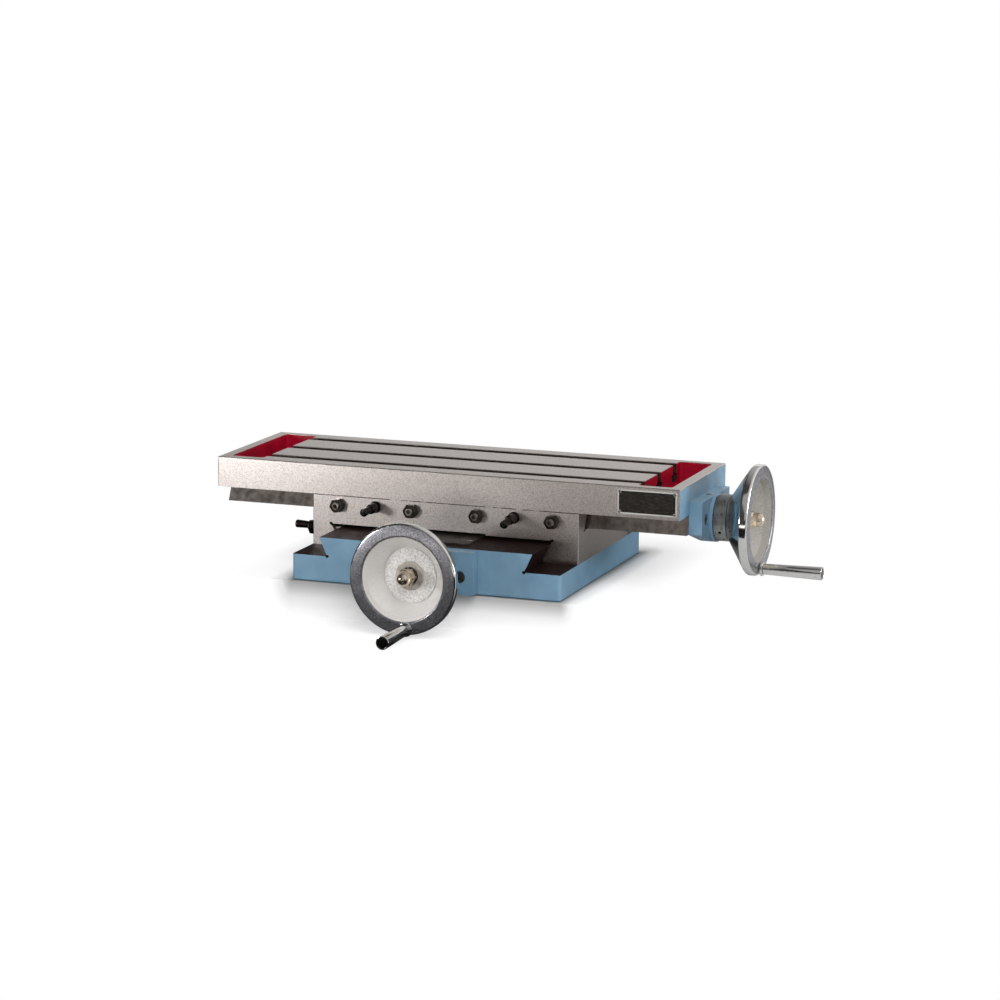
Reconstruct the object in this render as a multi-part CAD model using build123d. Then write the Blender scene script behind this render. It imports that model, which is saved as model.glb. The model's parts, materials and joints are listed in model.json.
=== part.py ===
"""Cross slide table: a saddle slides on the base along Y and a table slides on the saddle along X.

Millimetres, +Z up, +X towards the table feed handwheel, -Y towards the saddle feed handwheel.
The origin is the centre of the base's bottom face.
"""

import os
from math import cos, pi, radians, sin, tan

from build123d import *

# Table
table_length = 733.0
table_middle_x = -1.5
table_width = 240.0
slab_thickness = 46.0
table_top_height = 163.0
table_edge_chamfer = 1.0
table_way_half_width = 81.0
table_way_depth = 29.0
screw_groove_half_width = 23.0
screw_groove_top = 121.0

# T-slots and end pockets
slot_count = 3
slot_pitch = 80.0
slot_width = 18.0
slot_throat_depth = 15.0
slot_tee_width = 30.0
slot_tee_depth = 12.0
slot_edge_chamfer = 0.8
pocket_end_wall = 16.5
pocket_side_wall = 15.0
pocket_length = 52.0
pocket_depth = 30.0
pocket_corner = 5.0

# Saddle
saddle_width = 422.0
saddle_rest_y = 8.5
saddle_edge_chamfer = 1.0
cavity_ceiling = 73.0
ceiling_recess_half_width = 66.0
ceiling_recess_depth = 2.5
channel_floor = 87.0
relief_radius = 2.5

# Base
base_width = 422.0
base_depth = 385.0
base_flange_height = 40.0
base_way_height = 28.0
base_way_top_half_width = 167.5
base_corner = 6.0
base_foot_chamfer = 2.5
trough_half_width = 44.0
trough_floor = 8.0
trough_front_wall = 24.0
trough_back_wall = 22.0
core_roof = 28.0
core_inner_x = 62.0
core_outer_x = 132.0
core_gap_y = 16.0
core_side_wall = 26.0
core_corner = 8.0
screw_passage_clearance = 4.0
base_bolt_spacing_x = 360.0
base_bolt_spacing_y = 330.0
base_bolt_tap_radius = 5.1
base_bolt_tap_depth = 24.0

# Ways: angle, running clearance and gib strips
way_angle = 65.0
way_clearance = 0.05
gib_thickness = 10.0
gib_back_gap = 0.5
gib_top_gap = 0.5
table_gib_end_gap = 11.0
saddle_gib_end_gap = 6.0

# Gib adjusting screws and lock nuts
gib_screw_radius = 6.0
gib_screw_dog_radius = 4.0
gib_screw_dog_depth = 3.0
gib_screw_projection = 13.0
gib_screw_end_chamfer = 1.0
gib_screw_socket = 6.0
gib_screw_socket_depth = 6.0
lock_nut_across_flats = 19.0
lock_nut_thickness = 10.0
table_gib_screw_inset = 30.0
table_gib_screw_inner_x = 52.0
table_gib_screw_height = 102.0
table_lock_nut_turns = (8.0, -3.0, 0.0, 4.0)
saddle_gib_screw_inset = 8.0
saddle_gib_screw_height = 62.5
saddle_lock_nut_turns = (0.0, 6.0, -5.0, 3.0)

# Lock levers
lever_stud_radius = 4.0
lever_collar_radius = 9.0
lever_collar_thickness = 2.5
lever_face_gap = 0.1
lever_hub_radius = 7.5
lever_hub_length = 22.0
lever_arm_length = 28.0
lever_arm_root_radius = 5.0
lever_arm_end_radius = 6.2
lever_bend = 9.0
lever_plug_length = 6.0
lever_plug_gap = 0.3
table_lever_x = 110.0
table_lever_height = 103.5
table_lever_rest_angles = (214.0, 245.0)
saddle_lever_inset = 36.0
saddle_lever_height = 60.5
saddle_lever_rest_angle = 20.0

# Feed screws
feed_lead = 5.0
feed_screw_radius = 10.0
feed_collar_radius = 14.5
feed_collar_length = 12.0
table_screw_height = 103.5
saddle_screw_height = 35.0
table_screw_inner_end = -190.0
saddle_screw_inner_end = 152.0
running_clearance = 0.05

# Feed nuts
feed_nut_length = 50.0
table_feed_nut_half_width = 20.0
table_feed_nut_top = 118.5
saddle_feed_nut_half_width = 27.0
saddle_feed_nut_bottom = 16.0
saddle_feed_nut_offset_y = 50.0
feed_nut_corner_chamfer = 2.0
feed_nut_lower_round = 12.0
feed_nut_screw_radius = 3.0
feed_nut_screw_head_radius = 5.0
feed_nut_screw_head_height = 6.0
feed_nut_screw_grip = 15.0
feed_nut_screw_socket = 5.0
table_feed_nut_screw_y = 13.5
table_feed_nut_screw_x = 17.0
saddle_feed_nut_screw_x = 19.0

# Feed drive at each mounting face, outward distances counted from that face
bracket_thickness = 20.0
boss_radius = 37.0
boss_length = 5.0
bush_radius = 15.0
thrust_washer_thickness = 3.0
thrust_washer_radius = 18.0
table_bracket_width = 144.0
table_bracket_top = 137.0
table_bracket_shoulder = 86.0
table_bracket_bottom = 66.5
table_bracket_corner = 6.0
table_bracket_screw_offset = (50.0, 4.5)
saddle_bracket_width = 168.0
saddle_bracket_top = 67.0
saddle_bracket_bottom = 3.0
saddle_bracket_corner = 2.0
saddle_bracket_screw_offset = (62.0, -5.0)
bracket_screw_radius = 5.0
bracket_screw_head_radius = 8.0
bracket_screw_head_height = 10.0
bracket_screw_length = 40.0
bracket_screw_socket = 8.0
counterbore_radius = 9.0
counterbore_depth = 11.0
counterbore_clearance = 0.5
bolt_hole_clearance = 0.5
thread_clearance = 0.05

# Ball oilers
oiler_radius = 4.0
oiler_flange_radius = 5.5
oiler_flange_height = 1.2
oiler_depth = 9.0
oiler_flange_chamfer = 0.5
oiler_cup_depth = 1.5
oiler_cup_clearance = 0.3
oiler_ball_radius = 2.0
oiler_ball_sink = 1.6

# Dials
dial_radius = 35.0
dial_length = 19.0
dial_gap = 0.5
dial_edge_chamfer = 0.8
dial_bore_clearance = 0.08
dial_screw_radius = 2.5
dial_screw_length = 11.0
dial_screw_tip_gap = 0.25
dial_screw_socket_radius = 1.3
dial_screw_angle = 120.0

# Handwheels
wheel_radius = 82.5
wheel_depth = 46.0
rim_width = 13.6
rim_inner_radius = 62.0
rim_face_fall = 1.5
rim_wall_radius = 59.4
rim_wall_depth = 13.0
rim_round = 3.0
rim_inner_round = 2.0
hub_sleeve_radius = 22.0
hub_back_radius = 34.0
hub_face_radius = 40.4
hub_face_depth = 33.0
hub_face_step = 2.0
hub_face_groove = 1.0
dish_round = 4.0
hub_bore_radius = 9.0
wheel_seat_gap = 0.5
feed_screw_end_chamfer = 1.5

# Wheel fasteners
wheel_key_width = 5.0
wheel_key_length = 22.0
wheel_washer_radius = 21.5
wheel_washer_thickness = 3.0
spring_washer_radius = 13.5
spring_washer_thickness = 4.0
spring_washer_split = 2.0
spring_washer_slant = 30.0
wheel_nut_thread_radius = 8.0
wheel_nut_across_flats = 24.0
wheel_nut_hex_height = 13.0
wheel_nut_dome_radius = 11.0
wheel_nut_neck = 6.0
washer_hole_clearance = 0.2

# Crank handles
handle_circle_radius = 73.0
handle_collar_radius = 10.5
saddle_handle_rest_angle = 5.5
handle_collar_thickness = 4.0
handle_collar_chamfer = 1.0
handle_length = 89.0
handle_root_radius = 8.0
handle_end_radius = 10.0
handle_pin_radius = 5.0
handle_head_radius = 8.0
handle_head_thickness = 4.0
handle_thread_depth = 11.0
handle_end_round = 1.0
handle_play = 0.3

# Trough cover
cover_half_width = 60.0
cover_front_gap = 24.0
cover_back_y = -62.0
cover_thickness = 2.5
cover_corner = 3.0
cover_screw_inset_x = 7.0
cover_screw_front_inset = 25.0
cover_screw_back_inset = 15.0
cover_screw_radius = 2.5
cover_screw_head_radius = 4.6
cover_screw_length = 14.0
cover_screw_slot_width = 1.0
cover_screw_slot_depth = 1.2

# Nameplate
plate_length = 90.0
plate_height = 36.0
plate_thickness = 1.0
plate_end_gap = 4.5
plate_drop = 4.5
plate_corner = 1.5
rivet_radius = 1.6
rivet_inset = 3.2
rivet_head_radius = 2.7
rivet_head_height = 0.8
rivet_depth = 4.0

# Worked out from the sizes above
table_left = table_middle_x - table_length / 2
table_right = table_middle_x + table_length / 2
table_half_width = table_width / 2
slab_bottom = table_top_height - slab_thickness
table_way_bottom = slab_bottom - table_way_depth
slot_depth = slot_throat_depth + slot_tee_depth
pocket_middles = (
    table_left + pocket_end_wall + pocket_length / 2,
    table_right - pocket_end_wall - pocket_length / 2,
)
pocket_half_width = table_half_width - pocket_side_wall
saddle_half_width = saddle_width / 2
ceiling_recess_top = cavity_ceiling + ceiling_recess_depth
table_gib_length = saddle_width - 2 * table_gib_end_gap
saddle_gib_length = table_width - 2 * saddle_gib_end_gap
saddle_top = slab_bottom - way_clearance
saddle_bottom = base_flange_height + way_clearance
saddle_front = saddle_rest_y - table_half_width
base_half_width = base_width / 2
base_front = -base_depth / 2
base_back = base_depth / 2
base_top = base_flange_height + base_way_height
flank_run = 1 / tan(radians(way_angle))
flank_secant = 1 / sin(radians(way_angle))
gib_room = gib_thickness + gib_back_gap + way_clearance
dial_start = bracket_thickness + boss_length + dial_gap
wheel_back = dial_start + dial_length + dial_gap
hub_sleeve_back = bracket_thickness + boss_length + thrust_washer_thickness
rim_front = wheel_back + wheel_depth
hub_face = rim_front - hub_face_depth
wheel_washer_end = hub_face + wheel_washer_thickness
spring_washer_end = wheel_washer_end + spring_washer_thickness
nut_hex_end = spring_washer_end + wheel_nut_hex_height
nut_dome_start = nut_hex_end + wheel_nut_neck
handle_start = rim_front + handle_collar_thickness + handle_play
handle_end = handle_start + handle_length

# The drives are modelled along +X from their mounting face and then placed
table_drive = Pos(table_right, saddle_rest_y, table_screw_height)
saddle_drive = Pos(0, base_front, saddle_screw_height) * Rot(0, 0, -90)


def table_flank(height, offset=0.0):
    """Half width of the table's dovetail at a height, moved out squarely by an offset."""
    return table_way_half_width - (height - table_way_bottom) * flank_run + offset * flank_secant


def base_flank(height, offset=0.0):
    """Half width of the base's dovetail at a height, moved out squarely by an offset."""
    return base_way_top_half_width - (base_top - height) * flank_run + offset * flank_secant


def block(x0, x1, y0, y1, z0, z1):
    """Box between two corners."""
    return Pos((x0 + x1) / 2, (y0 + y1) / 2, (z0 + z1) / 2) * Box(x1 - x0, y1 - y0, z1 - z0)


def rod_x(radius, start, end):
    """Cylinder along the X axis."""
    return Pos((start + end) / 2, 0, 0) * Rot(0, 90, 0) * Cylinder(radius, end - start)


def rod_z(radius, start, end):
    """Cylinder along the Z axis."""
    return Pos(0, 0, (start + end) / 2) * Cylinder(radius, end - start)


def rod_y(radius, start, end):
    """Cylinder along the Y axis."""
    return Pos(0, (start + end) / 2, 0) * Rot(90, 0, 0) * Cylinder(radius, end - start)


def prism_x(points, start, end):
    """Outline in Y and Z, drawn out along X."""
    outline = Plane.YZ * make_face(Polyline(points, close=True))
    return Pos(start, 0, 0) * extrude(outline, end - start, dir=(1, 0, 0))


def prism_y(points, start, end):
    """Outline in X and Z, drawn out along Y."""
    outline = Plane.XZ * make_face(Polyline(points, close=True))
    return Pos(0, start, 0) * extrude(outline, end - start, dir=(0, 1, 0))


def hexagon_x(across_flats, start, end):
    """Hexagonal bar along the X axis, two flats level."""
    outline = Plane.YZ * RegularPolygon(across_flats / 2, 6, major_radius=False)
    return Pos(start, 0, 0) * extrude(outline, end - start, dir=(1, 0, 0))


def chamfered_nut(across_flats, start, end, bore):
    """Hexagon nut along X with its corners turned down at both ends."""
    corner = across_flats / 2 / cos(pi / 6)
    fall = (corner - across_flats / 2) * 0.6
    turned = revolve(
        make_face(
            Polyline(
                (start, 0),
                (start, across_flats / 2),
                (start + fall, corner),
                (end - fall, corner),
                (end, across_flats / 2),
                (end, 0),
                close=True,
            )
        ),
        Axis.X,
    )
    return (hexagon_x(across_flats, start, end) & turned) - rod_x(bore, start - 1, end + 1)


def socket_screw(shank, head, head_height, length, socket):
    """Socket head cap screw along X, its head's underside at 0 and its shank towards -X."""
    body = rod_x(head, 0, head_height) + rod_x(shank, -length, 0)
    body = chamfer(body.edges().filter_by(GeomType.CIRCLE).sort_by(Axis.X)[-1], head * 0.09)
    return body - hexagon_x(socket, head_height * 0.45, head_height + 1)


def joined(pieces):
    """Separate solids kept together as one group."""
    return Compound(children=[piece if isinstance(piece, Solid) else piece.solid() for piece in pieces])


# Table casting

def tee_slot(centre):
    """Room for one T-slot, open into both end pockets."""
    top = table_top_height
    throat = top - slot_throat_depth
    bottom = top - slot_depth
    half_throat = slot_width / 2
    half_mouth = half_throat + slot_edge_chamfer
    half_tee = slot_tee_width / 2
    right_side = [
        (half_tee, bottom),
        (half_tee, throat),
        (half_throat, throat),
        (half_throat, top - slot_edge_chamfer),
        (half_mouth, top),
        (half_mouth, top + 1),
    ]
    outline = [(centre + y, z) for y, z in right_side] + [(centre - y, z) for y, z in reversed(right_side)]
    return prism_x(outline, pocket_middles[0], pocket_middles[1])


def slot_centres():
    """Distances of the T-slots from the table's centre line."""
    return [(i - (slot_count - 1) / 2) * slot_pitch for i in range(slot_count)]


def make_table_casting():
    """Slab with T-slots and end pockets, its dovetail and the groove for the feed screw."""
    slab = block(table_left, table_right, -table_half_width, table_half_width, slab_bottom, table_top_height)
    slab = chamfer(slab.edges().filter_by(Axis.Z), table_edge_chamfer)
    slab = chamfer(slab.faces().sort_by(Axis.Z)[-1].edges(), table_edge_chamfer)
    way_top = table_flank(slab_bottom)
    way = [
        (-table_way_half_width, table_way_bottom),
        (table_way_half_width, table_way_bottom),
        (way_top, slab_bottom),
        (way_top, slab_bottom + 1),
        (-way_top, slab_bottom + 1),
        (-way_top, slab_bottom),
    ]
    body = slab + prism_x(way, table_left, table_right)
    for side in (-1, 1):
        relief = Pos(0, side * way_top, slab_bottom) * rod_x(relief_radius, table_left - 1, table_right + 1)
        body -= relief
    body -= block(
        table_left - 1,
        table_right + 1,
        -screw_groove_half_width,
        screw_groove_half_width,
        table_way_bottom - 1,
        screw_groove_top,
    )
    for centre in slot_centres():
        body -= tee_slot(centre)
    pocket = Rectangle(pocket_length, 2 * pocket_half_width)
    pocket = fillet(pocket.vertices(), pocket_corner)
    for middle in pocket_middles:
        sunk = Pos(middle, 0, table_top_height - pocket_depth) * pocket
        body -= extrude(sunk, pocket_depth + 1)
    body = Pos(0, saddle_rest_y, 0) * body
    for offset in (-1, 1):
        tap = rod_x(bracket_screw_radius, -bracket_screw_length, 1)
        across, up = table_bracket_screw_offset
        body -= table_drive * Pos(0, offset * across, up) * tap
    for x, z in rivet_places():
        body -= Pos(x, saddle_front, z) * rod_y(rivet_radius, -1, rivet_depth)
    return body


# Nameplate

def plate_centre():
    """Middle of the nameplate on the table's front face."""
    x = table_right - plate_end_gap - plate_length / 2
    z = table_top_height - plate_drop - plate_height / 2
    return x, z


def rivet_places():
    """Centres of the four rivets."""
    x, z = plate_centre()
    reach_x = plate_length / 2 - rivet_inset
    reach_z = plate_height / 2 - rivet_inset
    return [(x + i * reach_x, z + k * reach_z) for i in (-1, 1) for k in (-1, 1)]


def make_nameplate():
    """Blank plate with rounded corners and rivet holes."""
    x, z = plate_centre()
    outline = Rectangle(plate_length, plate_height)
    outline = fillet(outline.vertices(), plate_corner)
    plate = Pos(x, saddle_front, z) * extrude(Plane.XZ * outline, plate_thickness, dir=(0, -1, 0))
    for rivet_x, rivet_z in rivet_places():
        plate -= Pos(rivet_x, saddle_front, rivet_z) * rod_y(rivet_radius, -plate_thickness - 1, 1)
    return plate


def make_nameplate_rivets():
    """Round head drive rivets."""
    profile = make_face(
        Polyline(
            (-rivet_depth, 0),
            (-rivet_depth, rivet_radius),
            (plate_thickness, rivet_radius),
            (plate_thickness, rivet_head_radius),
            (plate_thickness + rivet_head_height * 0.6, rivet_head_radius * 0.75),
            (plate_thickness + rivet_head_height, 0),
            close=True,
        )
    )
    rivet = revolve(profile, Axis.X)
    return joined([Pos(x, saddle_front, z) * Rot(0, 0, -90) * rivet for x, z in rivet_places()])


# Saddle casting

def gib_screw_hole(reach):
    """Tapped hole along X for a gib adjusting screw."""
    return rod_x(gib_screw_radius, -reach, 1)


def table_gib_places():
    """Outward facing frames of the table gib screws on the saddle's front face."""
    outer = table_gib_length / 2 - table_gib_screw_inset
    inner = table_gib_screw_inner_x
    height = table_gib_screw_height
    return [Pos(x, saddle_front, height) * Rot(0, 0, -90) for x in (-outer, -inner, inner, outer)]


def saddle_gib_places():
    """Outward facing frames of the saddle gib screws on the saddle's left face, evenly spaced."""
    outer = saddle_gib_length / 2 - saddle_gib_screw_inset
    return [
        Pos(-saddle_half_width, saddle_rest_y + y, saddle_gib_screw_height) * Rot(0, 0, 180)
        for y in (-outer, -outer / 3, outer / 3, outer)
    ]


def table_lever_places():
    """Outward facing frames of the two table lock levers."""
    xs = (-table_lever_x, table_lever_x)
    return [Pos(x, saddle_front, table_lever_height) * Rot(0, 0, -90) for x in xs]


def saddle_lever_place():
    """Outward facing frame of the saddle lock lever."""
    y = saddle_front + saddle_lever_inset
    return Pos(-saddle_half_width, y, saddle_lever_height) * Rot(0, 0, 180)


def table_channel():
    """Room in the saddle for the table's dovetail and its gib, along X about the saddle's centre line."""
    top = saddle_top + 1
    front = way_clearance + gib_thickness + gib_back_gap
    outline = [
        (-table_flank(channel_floor, front), channel_floor),
        (table_flank(channel_floor, way_clearance), channel_floor),
        (table_flank(top, way_clearance), top),
        (-table_flank(top, front), top),
    ]
    reach = saddle_half_width + 1
    room = prism_x(outline, -reach, reach)
    for y in (-table_flank(channel_floor, front), table_flank(channel_floor, way_clearance)):
        room += Pos(0, y, channel_floor) * rod_x(relief_radius, -reach, reach)
    return Pos(0, saddle_rest_y, 0) * room


def base_cavity():
    """Room in the saddle for the base's dovetail and its gib, along Y."""
    bottom = saddle_bottom - 1
    left = way_clearance + gib_thickness + gib_back_gap
    outline = [
        (-base_flank(bottom, left), bottom),
        (base_flank(bottom, way_clearance), bottom),
        (base_flank(cavity_ceiling, way_clearance), cavity_ceiling),
        (-base_flank(cavity_ceiling, left), cavity_ceiling),
    ]
    reach = table_half_width + 1
    room = prism_y(outline, -reach, reach)
    for x in (-base_flank(cavity_ceiling, left), base_flank(cavity_ceiling, way_clearance)):
        room += Pos(x, 0, cavity_ceiling) * rod_y(relief_radius, -reach, reach)
    half = ceiling_recess_half_width
    room += block(-half, half, -reach, reach, cavity_ceiling - 1, ceiling_recess_top)
    return Pos(0, saddle_rest_y, 0) * room


def table_lip_depth():
    """Thickness of the saddle's front lip at the channel floor."""
    return table_half_width - table_flank(saddle_top, gib_room)


def saddle_jaw_depth():
    """Thickness of the saddle's left jaw at its thickest."""
    return saddle_half_width - base_flank(saddle_bottom, gib_room)


def make_saddle_casting():
    """Block with a dovetail channel above, a dovetail cavity below, and its tapped holes."""
    body = block(
        -saddle_half_width,
        saddle_half_width,
        saddle_front,
        saddle_front + table_width,
        saddle_bottom,
        saddle_top,
    )
    body = chamfer(body.edges().filter_by(Axis.Z), saddle_edge_chamfer)
    body -= table_channel()
    body -= base_cavity()
    for place in table_gib_places():
        body -= place * gib_screw_hole(table_lip_depth())
    for place in saddle_gib_places():
        body -= place * gib_screw_hole(saddle_jaw_depth())
    stud_hole = lever_stud_radius + running_clearance
    for place in table_lever_places():
        body -= place * rod_x(stud_hole, -table_lip_depth(), 1)
    body -= saddle_lever_place() * rod_x(stud_hole, -saddle_jaw_depth(), 1)
    for place in table_feed_nut_screw_places() + saddle_feed_nut_screw_places():
        body -= place * rod_x(feed_nut_screw_radius + thread_clearance, -feed_nut_screw_grip, 1)
        counterbore = feed_nut_screw_head_radius + counterbore_clearance
        body -= place * rod_x(counterbore, 0, feed_nut_screw_head_height + 1)
    return body


# Gib strips with their screws and nuts

def make_table_gib():
    """Strip between the saddle's front lip and the table's dovetail, dimpled for its screws."""
    bottom = channel_floor
    top = saddle_top - gib_top_gap
    near = way_clearance
    far = way_clearance + gib_thickness
    outline = [
        (-table_flank(bottom, near), bottom),
        (-table_flank(top, near), top),
        (-table_flank(top, far), top),
        (-table_flank(bottom, far), bottom),
    ]
    strip = prism_x(outline, -table_gib_length / 2, table_gib_length / 2)
    strip = Pos(0, saddle_rest_y, 0) * strip
    for place in table_gib_places():
        strip -= place * rod_x(gib_screw_dog_radius, -table_screw_reach(), 0)
    return strip


def make_saddle_gib():
    """Strip between the saddle's left jaw and the base's dovetail, dimpled for its screws."""
    bottom = saddle_bottom
    top = base_top - gib_top_gap
    near = way_clearance
    far = way_clearance + gib_thickness
    outline = [
        (-base_flank(bottom, near), bottom),
        (-base_flank(top, near), top),
        (-base_flank(top, far), top),
        (-base_flank(bottom, far), bottom),
    ]
    strip = prism_y(outline, saddle_rest_y - saddle_gib_length / 2, saddle_rest_y + saddle_gib_length / 2)
    for place in saddle_gib_places():
        strip -= place * rod_x(gib_screw_dog_radius, -saddle_screw_reach(), 0)
    return strip


def table_screw_reach():
    """Depth of a table gib screw's tip behind the saddle's front face."""
    flank = table_flank(table_gib_screw_height, way_clearance + gib_thickness)
    return table_half_width - flank + gib_screw_dog_depth


def saddle_screw_reach():
    """Depth of a saddle gib screw's tip behind the saddle's left face."""
    flank = base_flank(saddle_gib_screw_height, way_clearance + gib_thickness)
    return saddle_half_width - flank + gib_screw_dog_depth


def gib_screw(reach):
    """Set screw along X with a dog point and a hexagon socket."""
    thread_end = reach - gib_screw_dog_depth - gib_screw_radius * flank_run - gib_back_gap * flank_secant
    body = rod_x(gib_screw_radius, -thread_end, gib_screw_projection)
    body += rod_x(gib_screw_dog_radius, -reach, -thread_end)
    body = chamfer(body.edges().filter_by(GeomType.CIRCLE).sort_by(Axis.X)[-1], gib_screw_end_chamfer)
    socket_start = gib_screw_projection - gib_screw_socket_depth
    return body - hexagon_x(gib_screw_socket, socket_start, gib_screw_projection + 1)


def make_gib_screws(places, reach):
    """All the set screws of one gib."""
    return joined([place * gib_screw(reach) for place in places])


def make_lock_nuts(places, turns):
    """Lock nuts on the set screws of one gib, each left at the turn where it came tight."""
    nut = chamfered_nut(lock_nut_across_flats, 0, lock_nut_thickness, gib_screw_radius)
    return joined([place * Rot(turn, 0, 0) * nut for place, turn in zip(places, turns)])


# Lock levers

def lock_lever(stud_length, rest_angle):
    """Clamping lever along X: stud, collar, rounded hub and a slightly bent arm."""
    body = rod_x(lever_stud_radius, -stud_length, lever_collar_thickness)
    body += rod_x(lever_collar_radius, lever_face_gap, lever_collar_thickness)
    hub = rod_x(lever_hub_radius, lever_collar_thickness, lever_hub_length)
    hub = fillet(hub.edges().filter_by(GeomType.CIRCLE).sort_by(Axis.X)[-1], lever_hub_radius * 0.4)
    body += hub
    root = lever_hub_length - lever_hub_radius
    profile = make_face(
        Polyline(
            (0, 0),
            (0, lever_arm_root_radius),
            (lever_arm_length, lever_arm_end_radius),
            (lever_arm_length, 0),
            close=True,
        )
    )
    arm = revolve(profile, Axis.X)
    arm = fillet(arm.edges().filter_by(GeomType.CIRCLE).sort_by(Axis.X)[-1], lever_arm_end_radius * 0.5)
    return body + Pos(root, 0, 0) * Rot(rest_angle, 0, 0) * Rot(0, 0, lever_bend) * arm


def table_stud_length():
    """Length of a table lock lever's stud inside the front lip."""
    return table_half_width - table_flank(table_lever_height, gib_room) - lever_plug_length


def saddle_stud_length():
    """Length of the saddle lock lever's stud inside the left jaw."""
    return saddle_half_width - base_flank(saddle_lever_height, gib_room) - lever_plug_length


def lock_plug(stud_length):
    """Soft plug between a stud's tip and the gib, along X, before its end is trimmed to the flank."""
    return rod_x(lever_stud_radius, -stud_length - 3 * lever_plug_length, -stud_length - lever_plug_gap)


def make_table_lock_plugs():
    """Two plugs that press on the table gib, cut to its slope."""
    room = table_channel()
    return joined([(place * lock_plug(table_stud_length())) - room for place in table_lever_places()])


def make_saddle_lock_plug():
    """Plug that presses on the saddle gib, cut to its slope."""
    return ((saddle_lever_place() * lock_plug(saddle_stud_length())) - base_cavity()).solid()


# Feed nuts and their screws

def table_feed_nut_screw_places():
    """Frames of the table feed nut's screws, pointing down out of the cavity ceiling."""
    height = ceiling_recess_top + feed_nut_screw_head_height
    return [
        Pos(i * table_feed_nut_screw_x, saddle_rest_y + k * table_feed_nut_screw_y, height) * Rot(0, 90, 0)
        for i in (-1, 1)
        for k in (-1, 1)
    ]


def saddle_feed_nut_screw_places():
    """Frames of the saddle feed nut's screws, pointing up out of the channel floor."""
    y = saddle_rest_y + saddle_feed_nut_offset_y
    height = channel_floor - feed_nut_screw_head_height
    return [Pos(i * saddle_feed_nut_screw_x, y, height) * Rot(0, -90, 0) for i in (-1, 1)]


def make_feed_nut_screws(places):
    """Socket head screws that hold one feed nut."""
    screw = socket_screw(
        feed_nut_screw_radius,
        feed_nut_screw_head_radius,
        feed_nut_screw_head_height,
        feed_nut_screw_grip,
        feed_nut_screw_socket,
    )
    return joined([place * screw for place in places])


def make_table_feed_nut():
    """Bronze block on the channel floor, with the table's feed screw through it."""
    half = feed_nut_length / 2
    wide = table_feed_nut_half_width
    nut = block(-half, half, -wide, wide, channel_floor, table_feed_nut_top)
    nut = chamfer(nut.edges().filter_by(Axis.Z), feed_nut_corner_chamfer)
    nut = Pos(0, saddle_rest_y, 0) * nut
    nut -= Pos(0, saddle_rest_y, table_screw_height) * rod_x(
        feed_screw_radius + running_clearance, -feed_nut_length, feed_nut_length
    )
    for place in table_feed_nut_screw_places():
        nut -= place * rod_x(feed_nut_screw_radius + thread_clearance, -feed_nut_screw_grip - 1, 1)
    return nut


def make_saddle_feed_nut():
    """Bronze block that hangs from the cavity ceiling into the base's trough."""
    y = saddle_rest_y + saddle_feed_nut_offset_y
    half = feed_nut_length / 2
    wide = saddle_feed_nut_half_width
    nut = block(-wide, wide, y - half, y + half, saddle_feed_nut_bottom, ceiling_recess_top)
    nut = fillet(nut.edges().filter_by(Axis.Y).sort_by(Axis.Z)[:2], feed_nut_lower_round)
    nut -= Pos(0, y, saddle_screw_height) * rod_y(
        feed_screw_radius + running_clearance, -feed_nut_length, feed_nut_length
    )
    for place in saddle_feed_nut_screw_places():
        nut -= place * rod_x(feed_nut_screw_radius + thread_clearance, -feed_nut_screw_grip - 1, 1)
    return nut


# Base casting

def cover_screw_places():
    """Centres of the trough cover's screws."""
    front = base_front + cover_front_gap + cover_screw_front_inset
    back = cover_back_y - cover_screw_back_inset
    reach = cover_half_width - cover_screw_inset_x
    return [(i * reach, y) for i in (-1, 1) for y in (front, back)]


def base_cores():
    """Cored hollows under the base, two on each side of the trough, split by a rib."""
    rooms = []
    y_far = base_back - core_side_wall
    length = y_far - core_gap_y / 2
    outline = Rectangle(core_outer_x - core_inner_x, length)
    outline = fillet(outline.vertices(), core_corner)
    for side in (-1, 1):
        for way in (-1, 1):
            x = side * (core_inner_x + core_outer_x) / 2
            y = way * (y_far + core_gap_y / 2) / 2
            rooms.append(extrude(Pos(x, y, -1) * outline, core_roof + 1))
    return rooms


def make_base_casting():
    """Flange and dovetail with the screw trough, cored hollows and tapped holes."""
    flange = block(-base_half_width, base_half_width, base_front, base_back, 0, base_flange_height)
    flange = fillet(flange.edges().filter_by(Axis.Z), base_corner)
    flange = chamfer(flange.faces().sort_by(Axis.Z)[0].edges(), base_foot_chamfer)
    foot = base_flank(base_flange_height)
    way = [
        (-foot, base_flange_height - 1),
        (foot, base_flange_height - 1),
        (foot, base_flange_height),
        (base_way_top_half_width, base_top),
        (-base_way_top_half_width, base_top),
        (-foot, base_flange_height),
    ]
    body = flange + prism_y(way, base_front, base_back)
    for side in (-1, 1):
        body -= Pos(side * foot, 0, base_flange_height) * rod_y(relief_radius, base_front - 1, base_back + 1)
    trough = block(
        -trough_half_width,
        trough_half_width,
        base_front + trough_front_wall,
        base_back - trough_back_wall,
        trough_floor,
        base_top + 1,
    )
    body -= fillet(trough.edges().filter_by(Axis.Z), core_corner)
    for room in base_cores():
        body -= room
    bore = feed_collar_radius + screw_passage_clearance
    body -= saddle_drive * rod_x(bore, -trough_front_wall - 1, 1)
    for offset in (-1, 1):
        tap = rod_x(bracket_screw_radius, -bracket_screw_length, 1)
        across, up = saddle_bracket_screw_offset
        body -= saddle_drive * Pos(0, offset * across, up) * tap
    for x, y in cover_screw_places():
        body -= Pos(x, y, 0) * rod_z(cover_screw_radius, base_top - cover_screw_length, base_top + 1)
    for i in (-1, 1):
        for k in (-1, 1):
            tap = rod_z(base_bolt_tap_radius, -1, base_bolt_tap_depth)
            body -= Pos(i * base_bolt_spacing_x / 2, k * base_bolt_spacing_y / 2, 0) * tap
    return body


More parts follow.
